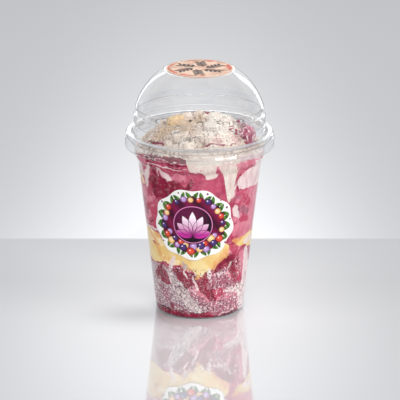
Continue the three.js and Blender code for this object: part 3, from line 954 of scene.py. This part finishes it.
# %% Build the layers
ROUND = 360  # columns round a layer, one for each degree
DISC = np.linspace(0, 1, 8)  # where the rows of a seam lie, as shares of the radius


def layer_grid(floor, roof, side_rows, columns=ROUND, top=DISC):
    """The points of a layer. floor and roof give heights from (bearing, share of the radius)."""
    bearing = bearings(columns)[None]

    def spread(height_at, shares):
        shares = shares[:, None]
        reach = wall_radius(height_at(bearing, np.ones((1, 1))))
        return round_axis(shares * reach, bearing, height_at(bearing, shares))

    low, high = (height_at(bearing, np.ones((1, 1))) for height_at in (floor, roof))
    share = np.linspace(0, 1, side_rows)[1:-1, None]
    height = low + (high - low) * share
    side = round_axis(wall_radius(height), bearing, height)
    return np.concatenate([spread(floor, DISC), side, spread(roof, top[::-1])])


def seam(name):
    """The seam's height as a function of bearing and share."""
    return lambda bearing, share: seam_height(name, bearing, share)


def heel_floor(bearing, share):
    """The cup's floor, and past it the groove of the ring that the cup stands on."""
    groove = (RING_IN + 0.3) / RING_OUT
    drop = np.clip((share - groove + 0.03) / 0.03, 0, 1)
    return CUP_FLOOR + (1.25 - CUP_FLOOR) * drop + 0 * bearing


LAYERS = [
    ("acai_heel", "dark_acai", heel_floor, seam("heel"), 14),
    ("powder_layer", "damp_powder", seam("heel"), seam("powder"), 90),
    ("acai_lower", "deep_acai", seam("powder"), seam("lower"), 90),
    ("cream_layer", "yellow_cream", seam("lower"), seam("cream"), 70),
    ("acai_upper", "pink_acai", seam("cream"), seam("upper"), 150),
]
for node, slot, floor_of, roof_of, side_rows in LAYERS:
    grid = layer_grid(floor_of, roof_of, side_rows)
    piece = skin_piece(node + "_food", grid, wall_paint(grid))
    dress(piece, FOODS[node], slot, node)

# %% [markdown]
# ## The heap of powder
#
# The heap is dry milk powder that was spooned on and settled: a low dome with soft lumps, smaller
# lumps on those, and loose crumbs over all. Its large form follows the solid, lump by lump, by
# the same seeded rule. Fine relief is pressed into the skin, and crumbs are laid on it afterwards.

# %% Repeat the solid's lumps
HEAP = {"wall": 118.0, "foot": 41.0, "rise": 16.0, "power": 0.95, "x": 2.0, "sag": 3.2}
CREST = (14.0, 12.0, 17.0, 2.2)  # x, y, radius and height of the swell behind the middle
RELIEF = {"broad": 0.9, "clods": 1.9, "grain": 0.6}  # how deep each size of unevenness is
LUMPS = {"count": 90, "seed": 7, "small": 3.2, "large": 6.2, "low": 0.7, "high": 2.1}


def seeded(seed):
    """Repeatable numbers from 0 to 1, mixed from a counter in 32-bit whole numbers."""
    state, full = seed, 0xFFFFFFFF
    while True:
        state = (state + 0x6D2B79F5) & full
        t = ((state ^ (state >> 15)) * (1 | state)) & full
        t = ((t + (((t ^ (t >> 7)) * (61 | t)) & full)) & full) ^ t
        yield ((t ^ (t >> 14)) & full) / 2**32


def heap_lumps():
    """Lumps in a sunflower's spiral: x, y, radius and height. Some are hollows."""
    draw, golden = seeded(LUMPS["seed"]), math.pi * (3 - math.sqrt(5))
    lumps = []
    for i in range(LUMPS["count"]):
        reach = HEAP["foot"] * math.sqrt((i + 0.5) / LUMPS["count"])
        angle = i * golden + (next(draw) - 0.5) / 2
        radius = LUMPS["small"] + (LUMPS["large"] - LUMPS["small"]) * next(draw)
        height = LUMPS["low"] + (LUMPS["high"] - LUMPS["low"]) * next(draw)
        height *= -0.7 if next(draw) < 0.3 else 1.0
        lumps.append((reach * math.sin(angle), -reach * math.cos(angle), radius, height))
    return lumps


lumps = heap_lumps()


def lump_at(lump, x, y):
    """A soft lump's height over points: h (1 - d^2)^2, where d is the distance over its radius."""
    near = np.minimum(np.hypot(x - lump[0], y - lump[1]) / lump[2], 1)
    return lump[3] * (1 - near**2) ** 2


def heap_top(x, y):
    """The heap's smooth top: a flattened dome, its crest, and lumps that fade at the foot. Its
    margin sags on the left and right, by sag * (|x| / foot)^6."""
    inside = 1 - np.minimum(np.hypot(x, y) / HEAP["foot"], 1)
    out = np.minimum(np.hypot(x - HEAP["x"] * inside, y) / HEAP["foot"], 1)
    dome = HEAP["rise"] * (1 - out**2) ** HEAP["power"]
    relief = sum(lump_at(lump, x, y) for lump in lumps)
    fade = np.minimum(1, inside * HEAP["foot"] / LUMPS["large"])
    sag = HEAP["sag"] * np.minimum(np.abs(x) / HEAP["foot"], 1) ** 6
    return HEAP["wall"] + dome + lump_at(CREST, x, y) + relief * fade - sag


def clods(x, y):
    """Clods between creases: 1 on a clod's top and 0 along the creases, where |noise| is 0.
    A broad noise closes the creases in places, and more of them on the right."""
    flat = np.stack([x, y, np.zeros_like(x)], axis=-1)
    tops = np.clip(np.abs(rough_hills(flat, 5.2, 3, 2)) * 2.6, 0, 1) ** 0.6
    return 1 - (1 - tops) * np.clip(0.7 + hills(flat, 8.0, 17) - x / 60, 0, 1)


def crumbly(x, y):
    """Fine relief on the heap in mm: clods, and grain on those."""
    flat = np.stack([x, y, np.zeros_like(x)], axis=-1)
    broad, grain = hills(flat, 5.5, 23), rough_hills(flat, 2.2, 9, 3)
    return broad * RELIEF["broad"] + (clods(x, y) - 0.8) * RELIEF["clods"] + grain * RELIEF["grain"]


def heap_roof(bearing, share):
    """The heap's top over a bearing and a share of the way to the wall."""
    radius = share * wall_radius(HEAP["wall"])
    x, y = radius * np.sin(bearing), -radius * np.cos(bearing)
    fade = np.clip((1 - share) / 0.06, 0, 1)
    return heap_top(x, y) + crumbly(x, y) * fade


# %% [markdown]
# The powder is warmest on the left, where it has caked and browned a little, and whitest on the
# right, where dark specks of pulp show in it. Those drifts are broad, so they are painted as
# values on the skin. The specks and the grain are noise in the material.

# %% Build the heap


def spots(x, y, places):
    """The sum of soft round spots (x, y, radius), each exp(-(distance / radius)^2)."""
    return sum(np.exp(-((x - sx) ** 2 + (y - sy) ** 2) / radius**2) for sx, sy, radius in places)


DRIFTS = {
    "warm": [(-17, -2, 7), (-22, -10, 7), (-8, -16, 6), (0, -3, 5), (-10, -6, 5), (-26, -12, 5),
             (2, 6, 4)],
    "pale": [(16, -10, 12), (10, 8, 9), (22, 8, 9), (6, -18, 7), (-16, -19, 4), (-12, -30, 5)],
    "tinged": [(-33, -14, 4), (-27, -22, 4), (31, -6, 7), (28, 8, 5), (12, -27, 5), (4, 12, 3),
               (24, -20, 5)],
    "specks": [(-16, -18.5, 4), (-8, -28, 3.5), (-2, -28, 3.5), (7.5, -19, 4), (-6, -3, 2.5),
               (24, 0, 5), (-31, -18, 4), (14, -6, 4)],
}
# Streaks of pulp, and cracks drawn dark as painted shadow: x and y of both ends, and half the width.
STAINS = [(-36.5, -9, -32.5, -14, 0.3), (-31, -16.5, -24.5, -24, 0.45), (3, -32.5, 8, -31.2, 0.5),
          (6, -32.5, 18, -28.8, 0.1), (4, 11.5, 9, 10.5, 0.5), (20.5, -27, 24, -24, 0.1)]
CRACK_SHADOWS = [(-1.0, -8.0, 4.8, -8.8, 0.3), (-8.4, -2.6, -5.2, -2.9, 0.1), (-15.6, -8, -13, -8.6, 0.1),
          (-23, 0.8, -20.6, -0.6, 0.0), (12, -14, 14, -15, 0.0), (-10, -31, -6, -30, 0.1)]


def line_to(u, v, start, end, half):
    """Distance to a straight stroke with round ends, negative inside it."""
    run = np.subtract(end, start)
    t = np.clip(((u - start[0]) * run[0] + (v - start[1]) * run[1]) / (run @ run), 0, 1)
    return np.hypot(u - start[0] - t * run[0], v - start[1] - t * run[1]) - half


def streaked(x, y, streaks):
    """1 on the streaks, falling to 0 over the next 0.8 mm."""
    away = np.min([line_to(x, y, (x0, y0), (x1, y1), half) for x0, y0, x1, y1, half in streaks], axis=0)
    return np.clip(1 - np.maximum(away, 0) / 0.8, 0, 1)


def heap_values(x, y, shown=1.0):
    """The drifts and streaks on the heap, and where painted shade goes: cracks, and depth in a crease."""
    values = {name: spots(x, y, places) * shown for name, places in DRIFTS.items()}
    values.update(stain=streaked(x, y, STAINS) * shown, crack=streaked(x, y, CRACK_SHADOWS) * shown)
    return {**values, "crease": (1 - clods(x, y)) * shown}


def heap_material():
    """Cream powder, warmer and whiter in drifts, with dark specks and painted shade in creases and cracks.
    """
    finish = Finish("milk_powder")
    fine, mid, dots = finish.noise(1.0, 3.0, 0.6), finish.noise(2.6, 3.0), finish.noise(1.7, 1.0)
    warm, pale, rose, specks = (finish.painted(name) for name in ("warm", "pale", "tinged", "specks"))
    stain, crack = ((finish.painted(name) + (fine - 0.5) * 1.4).step(0.45, 0.75)
                    for name in ("stain", "crack"))
    colour = finish.coats(
        tone(236, 218, 202),
        (tone(246, 234, 222), mid.step(0.4, 0.6)),
        (tone(228, 198, 162), (warm + mid * 1.4 - 0.7).step(0.1, 1.0) * 0.65),
        (tone(250, 244, 236), (pale + mid * 1.2 - 0.6).step(0.2, 0.9) * 0.75),
        (tone(218, 166, 168), (rose + mid * 0.8 - 0.4).step(0.3, 1.0) * 0.6),
        # painted shade in the creases between clods
        (tone(140, 104, 88), finish.painted("crease") * 0.95),
        (tone(140, 108, 100), fine.step(0.44, 0.36) * 0.4),
        (tone(84, 60, 58), (dots - specks * 0.17).step(0.33, 0.28) * 0.85),
        (tone(150, 124, 112), finish.painted("shade").step(0.4, 0.95) * 0.6),
        (tone(146, 44, 76), stain * 0.9),
        # painted shadow along the cracks
        (tone(64, 44, 32), crack * 0.9),
    )
    return finish.surface({
        "Base Color": smeared(finish, colour), "Roughness": 0.9, "Specular IOR Level": 0.1,
        "Normal": finish.bump(0.9, 0.9, fine),
    })


milk_powder = heap_material()


def build_heap():
    """The heap's skin, with fine rows on its top. Smears on the wall run on over its margin, as if
    the margin were folded up into the wall."""
    top = np.linspace(0, 1, 110) ** 0.8
    grid = layer_grid(seam("upper"), heap_roof, 50, 420, top=top)
    x, y = grid[..., 0], grid[..., 1]
    inward = np.clip(wall_radius(grid[..., 2]) - np.hypot(x, y), 0, 5)
    on_top = np.clip(inward / 3 - 0.6, 0, 1)
    folded = np.stack([x, y, grid[..., 2] + inward * 0.9], axis=-1)
    values = {kind: cover * (1 - on_top) for kind, cover in wall_paint(folded).items()}
    values.update(heap_values(x, y, on_top))
    return skin_piece("powder_heap_crumbly", grid, values)


heap = build_heap()
dress(heap, milk_powder, "milk_powder", "powder_heap")

# %% [markdown]
# ## Crumbs
#
# Loose crumbs break the heap's outline and catch the light one by one. A thousand objects would
# be slow, so each kind is one mesh: one small ball is worked out, and every crumb is that ball
# with its own size, stretch and dents, moved to its place, all as one array.

# %% Scatter crumbs


def ball(rings, around):
    """A ball of radius 1 as a closed skin: rows of points from the lower pole to the upper."""
    polar = np.linspace(-math.pi / 2, math.pi / 2, rings)[:, None]
    grid = round_axis(np.cos(polar), bearings(around)[None], np.sin(polar))
    squares, fans = skin_faces(rings, around)
    return flat_rows(grid), squares, fans


def scattered(name, centres, radii, rings, around, seed, dent=0.25, long=1.0, values=None):
    """One mesh of many small uneven balls, one at each centre, drawn out long times one way."""
    draw = np.random.default_rng(seed)
    shape, squares, fans = ball(rings, around)
    count, corners = len(centres), len(shape)
    stretch = draw.uniform(0.7, 1.25, (count, 1, 3)) * [1.0, 1.0, long]
    dents = 1 + dent * draw.uniform(-1, 1, (count, corners, 1))
    turn = np.linalg.qr(draw.normal(size=(count, 3, 3)))[0]
    turn *= np.sign(np.linalg.det(turn))[:, None, None]
    points = (shape * stretch * dents) @ turn * radii[:, None, None] + centres[:, None]
    first = (np.arange(count) * corners)[:, None, None]
    faces = [(part[None] + first).reshape(-1, part.shape[1]) for part in (squares, fans)]
    values = {key: np.repeat(value, corners) for key, value in (values or {}).items()}
    return mesh_piece(name, points.reshape(-1, 3), faces, values)


def on_heap(count, seed):
    """Places spread evenly over the heap, each with a random size from 0 to 1, mostly small."""
    draw = np.random.default_rng(seed)
    radius = (HEAP["foot"] + 1.0) * np.sqrt(draw.uniform(0, 1, count))
    angle = draw.uniform(-math.pi, math.pi, count)
    x, y = radius * np.sin(angle), -radius * np.cos(angle)
    size = draw.uniform(0, 1, count) ** 2
    return x, y, heap_top(x, y) + crumbly(x, y), size


def add_crumbs(name, count, small, large, rings, around, seed):
    """Crumbs of powder from small to large radius, half sunk into the heap, some of them grey."""
    x, y, z, size = on_heap(count, seed)
    radii = small + (large - small) * size
    centres = np.stack([x, y, z - radii * 0.2], axis=-1)
    shade = np.random.default_rng(seed + 50).uniform(0, 1, count) ** 1.5
    values = {**heap_values(x, y), "crease": np.zeros(count), "shade": shade}
    crumbs = scattered(name, centres, radii, rings, around, seed, values=values)
    crumbs.data.materials.append(milk_powder)
    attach(crumbs, "root")


# Each kind: how many, the smallest and largest radius, the ball's rings and corners, and a seed.
CRUMBS = {
    "clods": (220, 0.7, 1.4, 9, 14, 21),
    "crumbs": (1300, 0.35, 0.8, 6, 8, 22),
    "grains": (4200, 0.2, 0.4, 4, 5, 23),
}
for name, plan in CRUMBS.items():
    add_crumbs(name, *plan)

# %% [markdown]
# ## Pieces on the heap
#
# A rough piece of frozen acai lies against the heap on the right, streaked with ice, and a lump of
# caked powder sits on the left. Both are balls pushed in and out by noise: long ridges for the
# broken acai, and soft warts for the caked powder.

# %% Shape the acai chunk and the caked lump


def rough_ball(centre, size, turn, push):
    """A closed skin: a ball scaled to size, turned about the upright, and pushed out by noise."""
    centre, size = np.array(centre), np.array(size)
    polar = np.linspace(-math.pi / 2, math.pi / 2, 90)[:, None]
    unit = round_axis(np.cos(polar), bearings(120)[None], np.sin(polar))
    points = unit * (1 + push(unit * size))[..., None] * size
    c, s = math.cos(math.radians(turn)), math.sin(math.radians(turn))
    return points @ np.array([[c, s, 0], [-s, c, 0], [0, 0, 1]]) + centre


def ridges(points):
    """Broken pulp: sharp ridges, 1 - |noise|, across the piece, with splinters on them."""
    slanted = points * [1.0, 0.45, 1.0]
    return 0.32 * (0.6 - np.abs(rough_hills(slanted, 3.4, 71, 3))) + 0.1 * hills(points, 1.1, 75)


def warts(points):
    """Caked powder: soft warts of two sizes."""
    return 0.2 * rough_hills(points, 3.6, 81, 2) + 0.09 * hills(points, 1.2, 85)


def chunk_material():
    """Pink pulp with darker streaks, and frost along the ridges."""
    finish = Finish("frosted_pulp")
    fine, streak = finish.noise(0.8, 3.0), finish.noise(1.6, 3.0, 0.6)
    frost = (finish.painted("ridge") + fine * 0.9).step(0.76, 0.92)
    colour = finish.coats(
        tone(190, 70, 108), (tone(112, 22, 54), streak.step(0.42, 0.6)), (tone(238, 208, 214), frost)
    )
    return finish.surface({
        "Base Color": colour, "Roughness": 0.45, "Normal": finish.bump(0.5, 0.6, fine)
    })


def caked_material():
    """Tan powder that has caked, a little darker in patches."""
    finish = Finish("caked_powder")
    fine, mid = finish.noise(0.7, 3.0), finish.noise(2.4, 3.0)
    colour = finish.coats(
        tone(242, 216, 170),
        (tone(222, 186, 144), mid.step(0.4, 0.6)),
        (tone(150, 110, 80), fine.step(0.44, 0.34) * 0.6),
    )
    return finish.surface({
        "Base Color": colour, "Roughness": 0.85, "Normal": finish.bump(0.6, 0.6, fine)
    })


# Each piece: its middle, its half lengths and its turn in degrees.
CHUNK = ((32, -8, 125.0), (4.8, 8.8, 4.4), -14)
CAKED = ((-16, 1, 132.0), (6.2, 7.4, 3.7), -20)
# Where splinters lie: the middle in x and y, the spread in x and y, and how many.
SPLINTERS = [(32.0, -12, 2.4, 4.0, 80), (29.5, 4, 1.8, 3.0, 44), (26.0, -15.5, 1.8, 1.4, 18),
             (32.0, -3, 1.4, 3.0, 20)]


def add_splinters():
    """Thin splinters of broken acai on and round the chunk, some of them white with frost."""
    draw = np.random.default_rng(31)
    groups = [draw.normal(0, 1, (n, 2)) * [dx, dy] + [x, y] for x, y, dx, dy, n in SPLINTERS]
    flat = np.concatenate(groups)
    x, y, count = flat[:, 0], flat[:, 1], len(flat)
    centres = np.stack([x, y, heap_top(x, y) + draw.uniform(0.0, 2.6, count)], axis=-1)
    radii, frost = draw.uniform(0.35, 0.85, count), draw.uniform(-0.4, 1.0, count)
    splinters = scattered("acai_splinters", centres, radii, 6, 7, 32, 0.5, 3.0, {"ridge": frost})
    splinters.data.materials.append(frosted)
    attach(splinters, "root")


frosted = chunk_material()
add_splinters()
chunk_grid = rough_ball(*CHUNK, ridges)
chunk_ridge = 0.6 - np.abs(rough_hills(chunk_grid, 3.4, 71, 3))
chunk = skin_piece("acai_chunk_rough", chunk_grid, {"ridge": chunk_ridge})
dress(chunk, frosted, "chunk_acai", "acai_chunk")
lump_grid = rough_ball(*CAKED, warts)
dress(skin_piece("caked_lump_rough", lump_grid), caked_material(), "caked_powder", "caked_lump")

# %% [markdown]
# The heap is the brightest thing in the cup, because a lamp high behind it shines down through
# the dome. That lamp is kept to the heap, as it would throw the cup's shadow across the table.

# %% Light the heap
ON_TOP = {"powder_heap_crumbly", "clods", "crumbs", "grains", "acai_splinters", "acai_chunk_rough",
          "caked_lump_rough"}
on_top = [piece for piece in bpy.context.scene.objects if piece.name in ON_TOP]
shine_on(light("heap_lamp", 150, 62, 1.2, (0.7, 0.7), 3.8, mirrored=False), *on_top)

# %% [markdown]
# ## Printed labels
#
# A print is shapes of flat ink. Each ink is kept as a field of distances, in millimetres, to the
# edge of its shapes, negative inside. Distances blend well between the corners of a grid, so an
# edge stays sharp however coarse the grid is. The motifs are plain ones: a flower in a wreath of
# leaves and berries on the badge, and sprigs on the lid.

# %% Distances to simple shapes


def disc(u, v, cu, cv, radius):
    """Distance to a disc's edge."""
    return np.hypot(u - cu, v - cv) - radius


def leaf(u, v, root_u, root_v, angle, length, width):
    """Distance to a leaf: the overlap of two discs whose edges cross at its root and its tip."""
    a = math.radians(angle)
    du, dv = u - root_u, v - root_v
    along, across = du * math.cos(a) + dv * math.sin(a), -du * math.sin(a) + dv * math.cos(a)
    radius = (length**2 / 4 + width**2 / 4) / width
    offset = radius - width / 2
    return np.maximum(*(np.hypot(along - length / 2, across + side * offset) - radius for side in (-1, 1)))


def joined(shapes):
    """The distance to the nearest of several shapes."""
    return np.minimum.reduce(list(shapes))


INK_EDGE = 0.12  # half the slope between an ink and the paper


def print_material(name, paper, layers, gloss, coat):
    """Paper with inks laid over it in order. Each layer is (ink field, colour, second colour)."""
    finish = Finish(name)
    colour = paper(finish) if callable(paper) else paper
    for field, ink, shade in layers:
        toned = finish.mix(ink, shade, finish.painted(field + "_fade")) if shade else ink
        colour = finish.mix(colour, toned, finish.painted(field).step(INK_EDGE, -INK_EDGE))
    return finish.surface({
        "Base Color": colour, "Roughness": 0.35, "Specular IOR Level": gloss, "Coat Weight": coat,
    })


# %% [markdown]
# The badge is a lobed sticker, bent round the wall. Its grid is polar: rings out from its middle
# on the face, and a few rings back under it.

# %% Print the front badge
BADGE = {"bearing": -7.1, "z": 70.4, "width": 59.0, "height": 52.4, "lobes": 9, "lobe": 0.035}
BADGE_LIFT = (0.33, 0.58)  # how far its two faces lie off the middle of the cup's sheet


def badge_grid(columns=480, face_rings=110):
    """The badge's points, and their places across and up on its flat face, in mm."""
    shares = np.concatenate([np.linspace(0, 1, 12), np.linspace(1, 0, face_rings)])[:, None]
    lift = np.concatenate([np.full(12, BADGE_LIFT[0]), np.full(face_rings, BADGE_LIFT[1])])[:, None]
    angle = bearings(columns)[None]
    reach = (1 + BADGE["lobe"] * np.cos(angle * BADGE["lobes"])) / (1 + BADGE["lobe"]) / 2
    u = shares * np.sin(angle) * BADGE["width"] * reach
    v = -shares * np.cos(angle) * BADGE["height"] * reach
    radius = wall_radius(BADGE["z"] + v) + CONTENTS + lift
    bearing = math.radians(BADGE["bearing"]) + u / radius
    return round_axis(radius, bearing, BADGE["z"] + v), u, v


def fruit(u, v, places):
    """Two fields for berries (u, v, radius): the distance to the nearest edge, and the share of
    the way from that berry's middle to its edge, which shades it round."""
    share = np.min([np.hypot(u - cu, v - cv) / radius for cu, cv, radius in places], axis=0)
    return (share - 1) * places[0][2], np.clip(share, 0, 1) ** 3


WREATH = {"outer": 23, "inner": 9, "reach": 18.8, "inset": 3.3}  # berries in its two rings, and mm


def wreath_berries():
    """A ring of berries and half a ring inside it, low down, where the berries are larger. Both
    are uneven, and their four kinds come in turn."""
    draw = np.random.default_rng(5)
    outer = np.linspace(0, 2 * math.pi, WREATH["outer"], endpoint=False)
    turns = np.concatenate([outer, np.linspace(3.6, 5.8, WREATH["inner"])])
    turns += draw.uniform(-0.06, 0.06, len(turns))
    inset = WREATH["inset"] * (np.arange(len(turns)) >= WREATH["outer"])
    reach = WREATH["reach"] + draw.uniform(-0.9, 0.9, len(turns)) - inset
    radius = draw.uniform(1.7, 2.5, len(turns)) + 0.5 * np.clip(-np.sin(turns), 0, 1)
    rows = list(zip(reach * np.cos(turns) * 1.1, reach * np.sin(turns), radius))
    return {kind: rows[i::4] for i, kind in enumerate(("berries", "cherries", "slices", "violets"))}


# Drops of juice: across, up and radius.
DROPS = [(-25.4, 6, 0.8), (-22.5, 14.4, 0.7), (23.9, 11.5, 0.8), (26.2, 2.6, 0.6), (-26.4, -3, 0.6),
         (19.6, 17.4, 0.6), (-9.5, 22.6, 0.6), (10.4, 22.4, 0.7), (-22.0, -14.4, 0.6),
         (22.4, -14, 0.7)]


def badge_inks(u, v):
    """The badge's inks: a scalloped backing, a wreath of leaves and berries, a flower and drops."""
    angle, fruits = np.arctan2(v, u), wreath_berries()
    petals = [leaf(u, v, 0, -8.6, 90 + turn, 18.4 - abs(turn) * 0.08, 5.8)
              for turn in range(-75, 76, 25)]
    leaves = [leaf(u, v, 20.0 * math.cos(a), 17.6 * math.sin(a), math.degrees(a) + side * 34, 7.6, 2.8)
              for a in np.linspace(0.1, 2 * math.pi + 0.1, 17, endpoint=False) for side in (-1, 1)]
    inks = {
        "backing": np.hypot(u / 1.1, v) - 20.4 - 0.7 * np.cos(angle * 20),
        "drops": joined(disc(u, v, *place) for place in DROPS),
        "leaves": joined(leaves),
        "disc": disc(u, v, 0, 0, 14.2),
        "rim": np.abs(disc(u, v, 0, 0, 13.3)) - 0.3,
        "petals": joined(petals),
        "veins": joined(np.abs(petal) - 0.16 for petal in petals),
        "shine": joined(disc(u, v, a - 0.6, b + 0.7, 0.5) for row in fruits.values() for a, b, _ in row),
    }
    shades = {
        "backing_fade": np.clip(0.5 + 0.5 * np.sin(u * 0.5 + v * 0.4), 0, 1),
        "leaves_fade": np.clip(0.5 + 0.5 * np.sin(u * 2.1 + v * 1.2), 0, 1),
        "disc_fade": np.clip(np.hypot(u + 4, v - 5) / 16, 0, 1) ** 2,
        "petals_fade": np.clip((6 - v) / 13, 0, 1),
    }
    for kind, places in fruits.items():
        inks[kind], shades[kind + "_fade"] = fruit(u, v, places)
    return {**inks, **shades}


BADGE_LAYERS = [
    ("drops", tone(112, 14, 66), None),
    ("leaves", tone(30, 74, 26), tone(96, 138, 46)),
    ("backing", tone(124, 14, 66), tone(62, 6, 36)),
    ("violets", tone(196, 158, 216), tone(84, 36, 92)),
    ("slices", tone(250, 214, 150), tone(172, 92, 48)),
    ("cherries", tone(230, 80, 58), tone(98, 8, 22)),
    ("berries", tone(82, 54, 120), tone(14, 8, 26)),
    ("shine", tone(244, 226, 240), None),
    ("disc", tone(96, 12, 62), tone(22, 5, 20)),
    ("rim", tone(222, 130, 184), None),
    ("petals", tone(252, 240, 248), tone(190, 44, 150)),
    ("veins", tone(66, 8, 48), None),
]
points, across, up = badge_grid()
badge = skin_piece("front_badge", points, badge_inks(across, up))
badge_paper = print_material("badge_print", tone(240, 238, 236), BADGE_LAYERS, 0.25, 0.1)
dress(badge, badge_paper, "badge_paper", "front_label")

# %% [markdown]
# The lid's label is a plain disc on the dome's flat top. Its peach paper carries loose red and
# brown washes, which noise breaks up as wet paint would. Six dark sprigs turn round its middle.

# %% Print the lid's label
TOP_LABEL = {"radius": 22.5, "low": 168.62, "high": 169.1}


def top_grid(columns=320, face_rings=70):
    """The disc's points, from under its middle out and back over its face."""
    edge = TOP_LABEL["radius"]
    r = np.concatenate([np.linspace(0, edge, 8), np.linspace(edge, 0, face_rings)])
    z = np.concatenate([np.full(8, TOP_LABEL["low"]), np.full(face_rings, TOP_LABEL["high"])])
    return round_axis(r[:, None], bearings(columns)[None], z[:, None])


def sprig(u, v, start, end):
    """A stem with four pairs of small leaves along it."""
    run = np.subtract(end, start)
    lean = math.degrees(math.atan2(run[1], run[0]))
    places = [np.add(start, run * share) for share in np.linspace(0.12, 0.95, 4)]
    blades = [leaf(u, v, *place, lean + side * 48, 5.0, 2.1) for place in places for side in (-1, 1)]
    return joined([line_to(u, v, start, end, 0.5), *blades])


def stems():
    """Both ends of six stems. They start 4.5 mm from the middle and lean as they run out."""
    for turn in (math.tau * step / 6 for step in range(6)):
        yield [(r * math.cos(a), r * math.sin(a)) for r, a in ((4.5, turn), (15, turn + 0.5))]


def top_paper(finish):
    """Peach, with red and brown washes that thicken towards the edge, and a pale rim."""
    out = finish.painted("out")
    cloud, small = finish.noise(8.0, 3.0, 0.6), finish.noise(3.6, 2.0)
    return finish.coats(
        tone(228, 196, 174),
        (tone(210, 164, 138), cloud.step(0.4, 0.65)),
        (tone(204, 66, 48), (cloud * 0.8 + out**4 * 0.36).step(0.6, 0.72) * 0.9),
        (tone(150, 112, 72), (small * 0.7 + out * 0.34).step(0.62, 0.74) * 0.65),
        (tone(226, 194, 172), out.step(0.955, 0.97)),
    )


top_points = top_grid()
u, v = top_points[..., 0], top_points[..., 1]
top_inks = {
    "out": np.hypot(u, v) / TOP_LABEL["radius"],
    "sprigs": joined(sprig(u, v, *ends) for ends in stems()),
}
top_label = skin_piece("top_label_disc", top_points, top_inks)
lid_paper = print_material("lid_print", top_paper, [("sprigs", tone(44, 22, 24), None)], 0.1, 0.0)
dress(top_label, lid_paper, "lid_paper", "top_label")
